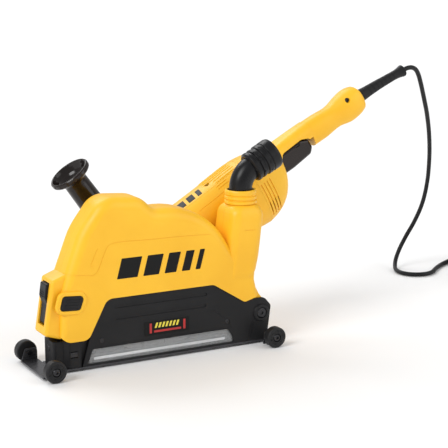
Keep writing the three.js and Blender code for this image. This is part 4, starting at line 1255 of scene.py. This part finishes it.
def build_trigger():
    side = [[315, -26, 4], [345, -27.5, 30], [386, -25.5, 9], [394.8, -16, 8], [393.6, 2.4, 8],
            [377, 10.8, 10], [332, 11.8, 10], [315, -4, 4]]
    paddle = slab("trigger_paddle", side, -18.4, 18.4, 7, place=on_tool, steps=7)
    keep_inside(paddle, box("span", 327, 400, -30, 30, -60, 60, on_tool))
    cut(paddle, box("well", 334, 400, -13.5, 13.5, 1.5, 30, on_tool),
        slab("slot", [[364, 3, 1.2], [373, 2.2, 1.2], [372, 5.6, 1.2], [363, 6.4, 1.2]], -20, -16.6,
             place=on_tool))
    dress(paddle, GLOSS, "trigger_paddle", "trigger", bevel=0.3)


def build_sleeve():
    stations = [(514, -1, 13), (520, -1.2, 12.9), (530, -1.5, 12), (545, -3, 10.6), (560, -4.4, 9.8),
                (575, -6, 9.2), (590, -8, 8.7), (605, -10, 8.4), (616, -11.6, 8.5), (623, -12.6, 9.4),
                (628, -13.3, 10.8), (631, -13.7, 11.1), (632, -13.8, 10.4)]
    line = [(s, 0, n) for s, n, r in stations]
    sleeve = tube("lead_sleeve", line, [r for s, n, r in stations], 40, on_tool)
    for i in range(7):
        s = 548 + 9.5 * i
        n = np.interp(s, [q[0] for q in stations], [q[1] for q in stations])
        r = float(np.interp(s, [q[0] for q in stations], [q[2] for q in stations]))
        ring = turned("ring", rectangle(r - 0.55, s, r + 3, s + 1.3), "x", (0, 0, float(n)), on_tool, 40)
        cut(sleeve, ring)
    dress(sleeve, RUBBER, "hood", "strain_relief", bevel=0.25)


def on_leaning_grip(p):
    """The side grip leans forward on its straight stud."""
    foot, a = 62.8, math.radians(GRIP_LEAN)
    rise = p[2] - foot
    return on_tool((GRIP_AT + p[0] * math.cos(a) - rise * math.sin(a), p[1],
                    foot + p[0] * math.sin(a) + rise * math.cos(a)))


def build_side_grip():
    profile = [[0, 62.8], [16, 62.8, 1.5], [20.5, 65, 2.5], [22.5, 72, 6], [22.5, 90, 40], [21, 154, 80],
               [20.3, 190, 10], [20.6, 195.5, 6], [26, 200.5, 5], [33.4, 202.2, 3], [35.5, 205, 1.6],
               [35.5, 210, 2], [33.4, 212.4, 1.6], [31.4, 211.4, 1.2], [29.4, 206.5, 5], [24.5, 197.5, 10],
               [14, 190.6, 12], [0, 188.6]]
    grip = turned("side_grip_turned", profile, "z", place=on_leaning_grip, sides=96)
    cut(grip, rod(6.3, 50, 94, "z", STUD_AT, on_tool, 40))
    for n in (76, 81, 187):
        cut(grip, turned("ring", [[20.2, n, 0.3], [26, n, 0], [26, n + 1.8, 0], [20.2, n + 1.8, 0.3]], "z",
                         place=on_leaning_grip, sides=96))
    for x, y in around(16, 36.6, math.pi / 16):
        cut(grip, rod(2.2, 199, 216, "z", (x, y, 0), on_leaning_grip, 16))
    for k in range(6):
        n = 120 + 8.5 * k
        mark = slab("mould_mark", rectangle(-2.2, n, 2.2, n + 4.6, 0.4),
                    -24, -21.4 + 0.016 * (n - 120), place=on_leaning_grip)
        cut(grip, mark)
    dress(grip, GLOSS, "hood", "side_grip", sharp=40)
    stud = bar("side_grip_stud_turned", 6, 41, 93, (0.8, 0.8), "z", STUD_AT, on_tool, 32)
    dress(stud, STEEL, "hood", "side_grip_stud")


def add_fins(body):
    """Cooling fins over the side that faces away from the disc."""
    for k in range(5):
        x = -2 + 11 * k
        fin = turned("fin", rectangle(44.5, x, 49.0, x + 2.4, 0.8), "x", place=on_tool, sides=80)
        keep_inside(fin, box("sector", -60, 60, 18, 60, -28, 28, on_tool))
        join(body, fin)


def build_gear_head():
    outer = [[0, -48], [20, -47, 10], [33, -42, 12], [43, -30, 16], [48, -8, 16], [48, 52, 1.5], [0, 52]]
    inner = [[0, -40], [16, -39], [28, -35], [36, -24], [39, -6], [40, 60], [0, 60]]
    body = turned("gear_case_cast", outer, "x", place=on_tool, sides=80)
    join(body, bar("nose", 31.5, -62, -20, (1.5, 0), "y", place=on_tool, sides=72),
         turned("boss", [[0, 30], [17, 30, 0], [15, 60, 1.5], [0, 60]], "z", STUD_AT, on_tool, 48))
    for y, n in around(4, 42, math.pi / 4):
        join(body, turned("post", [[0, 20], [7.5, 20, 2], [8.5, 51.8, 0], [0, 51.8]], "x", (0, y, n),
                          on_tool, 32))
    add_fins(body)
    cut(body, turned("hollow", inner, "x", place=on_tool, sides=48),
        rod(36.5, -27, 0, "y", place=on_tool, sides=60))
    join(body, bar("needle_boss", 14, 20, 44, (1, 0), "y", place=on_tool, sides=40))
    cut(body, rod(10.3, 10, 36, "y", place=on_tool, sides=40),
        rod(20.6, -70, -26, "y", place=on_tool, sides=48), rod(6.3, 40, 70, "z", STUD_AT, on_tool, 32),
        rod(3.3, 30, 60, "y", LOCK_AT, on_tool, 24))
    dress(body, ALLOY, "hood", "gearcase", bevel=0.4)
    for k, (y, n) in enumerate(around(4, 42, math.pi / 4)):
        screw = bar(f"case_screw_{k}", 4, 15.5, 19.9, (0.8, 0), "x", (0, y, n), on_tool, 28)
        dress(screw, DARK_STEEL, "hood")
    build_nose_parts()


def build_nose_parts():
    cover = turned("bearing_cover_cast", [[10, -67, 1], [31, -67, 1.5], [31, -62.3, 0.4], [10, -62.3, 0.4]],
                   "y", place=on_tool, sides=72)
    for k, (x, n) in enumerate(around(4, 25.5, math.pi / 4)):
        cut(cover, rod(4, -70, -65, "y", (x, 0, n), on_tool, 24))
        screw = bar(f"cover_screw_{k}", 3.4, -66.6, -64.9, (0.8, 0), "y", (x, 0, n), on_tool, 24)
        dress(screw, DARK_STEEL, "hood")
    dress(cover, ALLOY, "hood", "bearing_cover")
    ring = turned("clamp_ring_split", [[32.2, -54.5, 0.6], [40, -54.5, 1], [40, -49, 1], [32.2, -49, 0.6]],
                  "y", place=on_tool, sides=84)
    join(ring, slab("ear_a", [[38, -9, 1], [52, -9, 3], [52, 9, 3], [38, 9, 1]], -54.4, -49.1,
                    place=on_tool))
    cut(ring, slab("gap", rectangle(30, -1.4, 60, 1.4), -60, -40, place=on_tool))
    dress(ring, DARK_STEEL, "hood", "clamp_ring", slot="alloy", bevel=0.3)
    button = [[0, 36], [3, 36], [3, 50.5], [8, 51.5, 0.5], [8, 56.5, 1.5], [6, 58, 1.5], [4, 57.2, 1],
              [0, 57]]
    lock = turned("spindle_lock_moulded", button, "y", LOCK_AT, on_tool, 40)
    dress(lock, GLOSS, "lock_button", "spindle_lock_button")


def build_disc():
    rim = [[11.1, -91.5, 0.2], [115, -91.5, 0.3], [115, -88.5, 0.3], [11.1, -88.5, 0.2]]
    disc = turned("cutting_disc_segmented", rim, "y", place=on_tool, sides=144)
    for k in range(16):
        a = 2 * math.pi * k / 16

        def place(p, a=a):
            return on_tool((p[0] * math.cos(a) - p[2] * math.sin(a), p[1],
                            p[0] * math.sin(a) + p[2] * math.cos(a)))

        cut(disc, slab("kerf", [[98, -1.1, 1], [120, -1.1, 0.2], [120, 1.1, 0.2], [98, 1.1, 1]], -95, -85,
                       place=place))
    dress(disc, GRIT, "spindle_group", "cutting_disc")
    step = [[7.3, -88.2], [22, -88.2, 0.6], [22, -84.5, 1], [14, -82, 1], [7.3, -82]]
    flange = turned("inner_flange_turned", step, "y", place=on_tool)
    dress(flange, DARK_STEEL, "spindle_group", "inner_flange")
    cone = [[7.3, -99, 0.6], [14, -99, 0.8], [21, -96.5, 1], [21, -91.8, 0.4], [7.3, -91.8]]
    nut = turned("clamp_nut_turned", cone, "y", place=on_tool)
    for x, n in around(4, 14.8, math.pi / 4):
        cut(nut, rod(2.5, -105, -94, "y", (x, 0, n), on_tool, 20))
    dress(nut, DARK_STEEL, "spindle_group", "clamp_nut")


def finish_inner_nodes():
    """CAD solids that stay as they are get the material of their slot."""
    looks = {"steel": STEEL, "alloy": ALLOY, "motor_iron": DARK_STEEL, "copper": COPPER,
             "black_plastic": BLACK}
    slots = {s["node"]: s["material_slot"] for s in frame["record"]["subparts"]}
    for name in ("spindle", "crown_gear", "spindle_bearing", "needle_bearing", "bearing_plate",
                 "front_motor_bearing", "rear_motor_bearing", "pinion", "armature", "cooling_fan", "stator",
                 "brush_holder_near", "brush_holder_far", "switch_unit"):
        thing = frame["nodes"][name]
        look = COPPER if name == "armature" else looks[slots[name]]
        if not thing.material_slots:
            thing.data.materials.append(look)
        for place in thing.material_slots:
            place.material = look


# ------------------------------------------------------------------ everything
build_camera()
build_stage()
build_lead()
build_hood()
build_lever_and_button()
build_elbow()
build_cover_panel()
build_front_block()
build_wheels()
build_brackets()
build_pivot()
build_far_panel()
build_motor_housing()
build_handles()
build_trigger()
build_sleeve()
build_side_grip()
build_gear_head()
build_disc()
finish_inner_nodes()
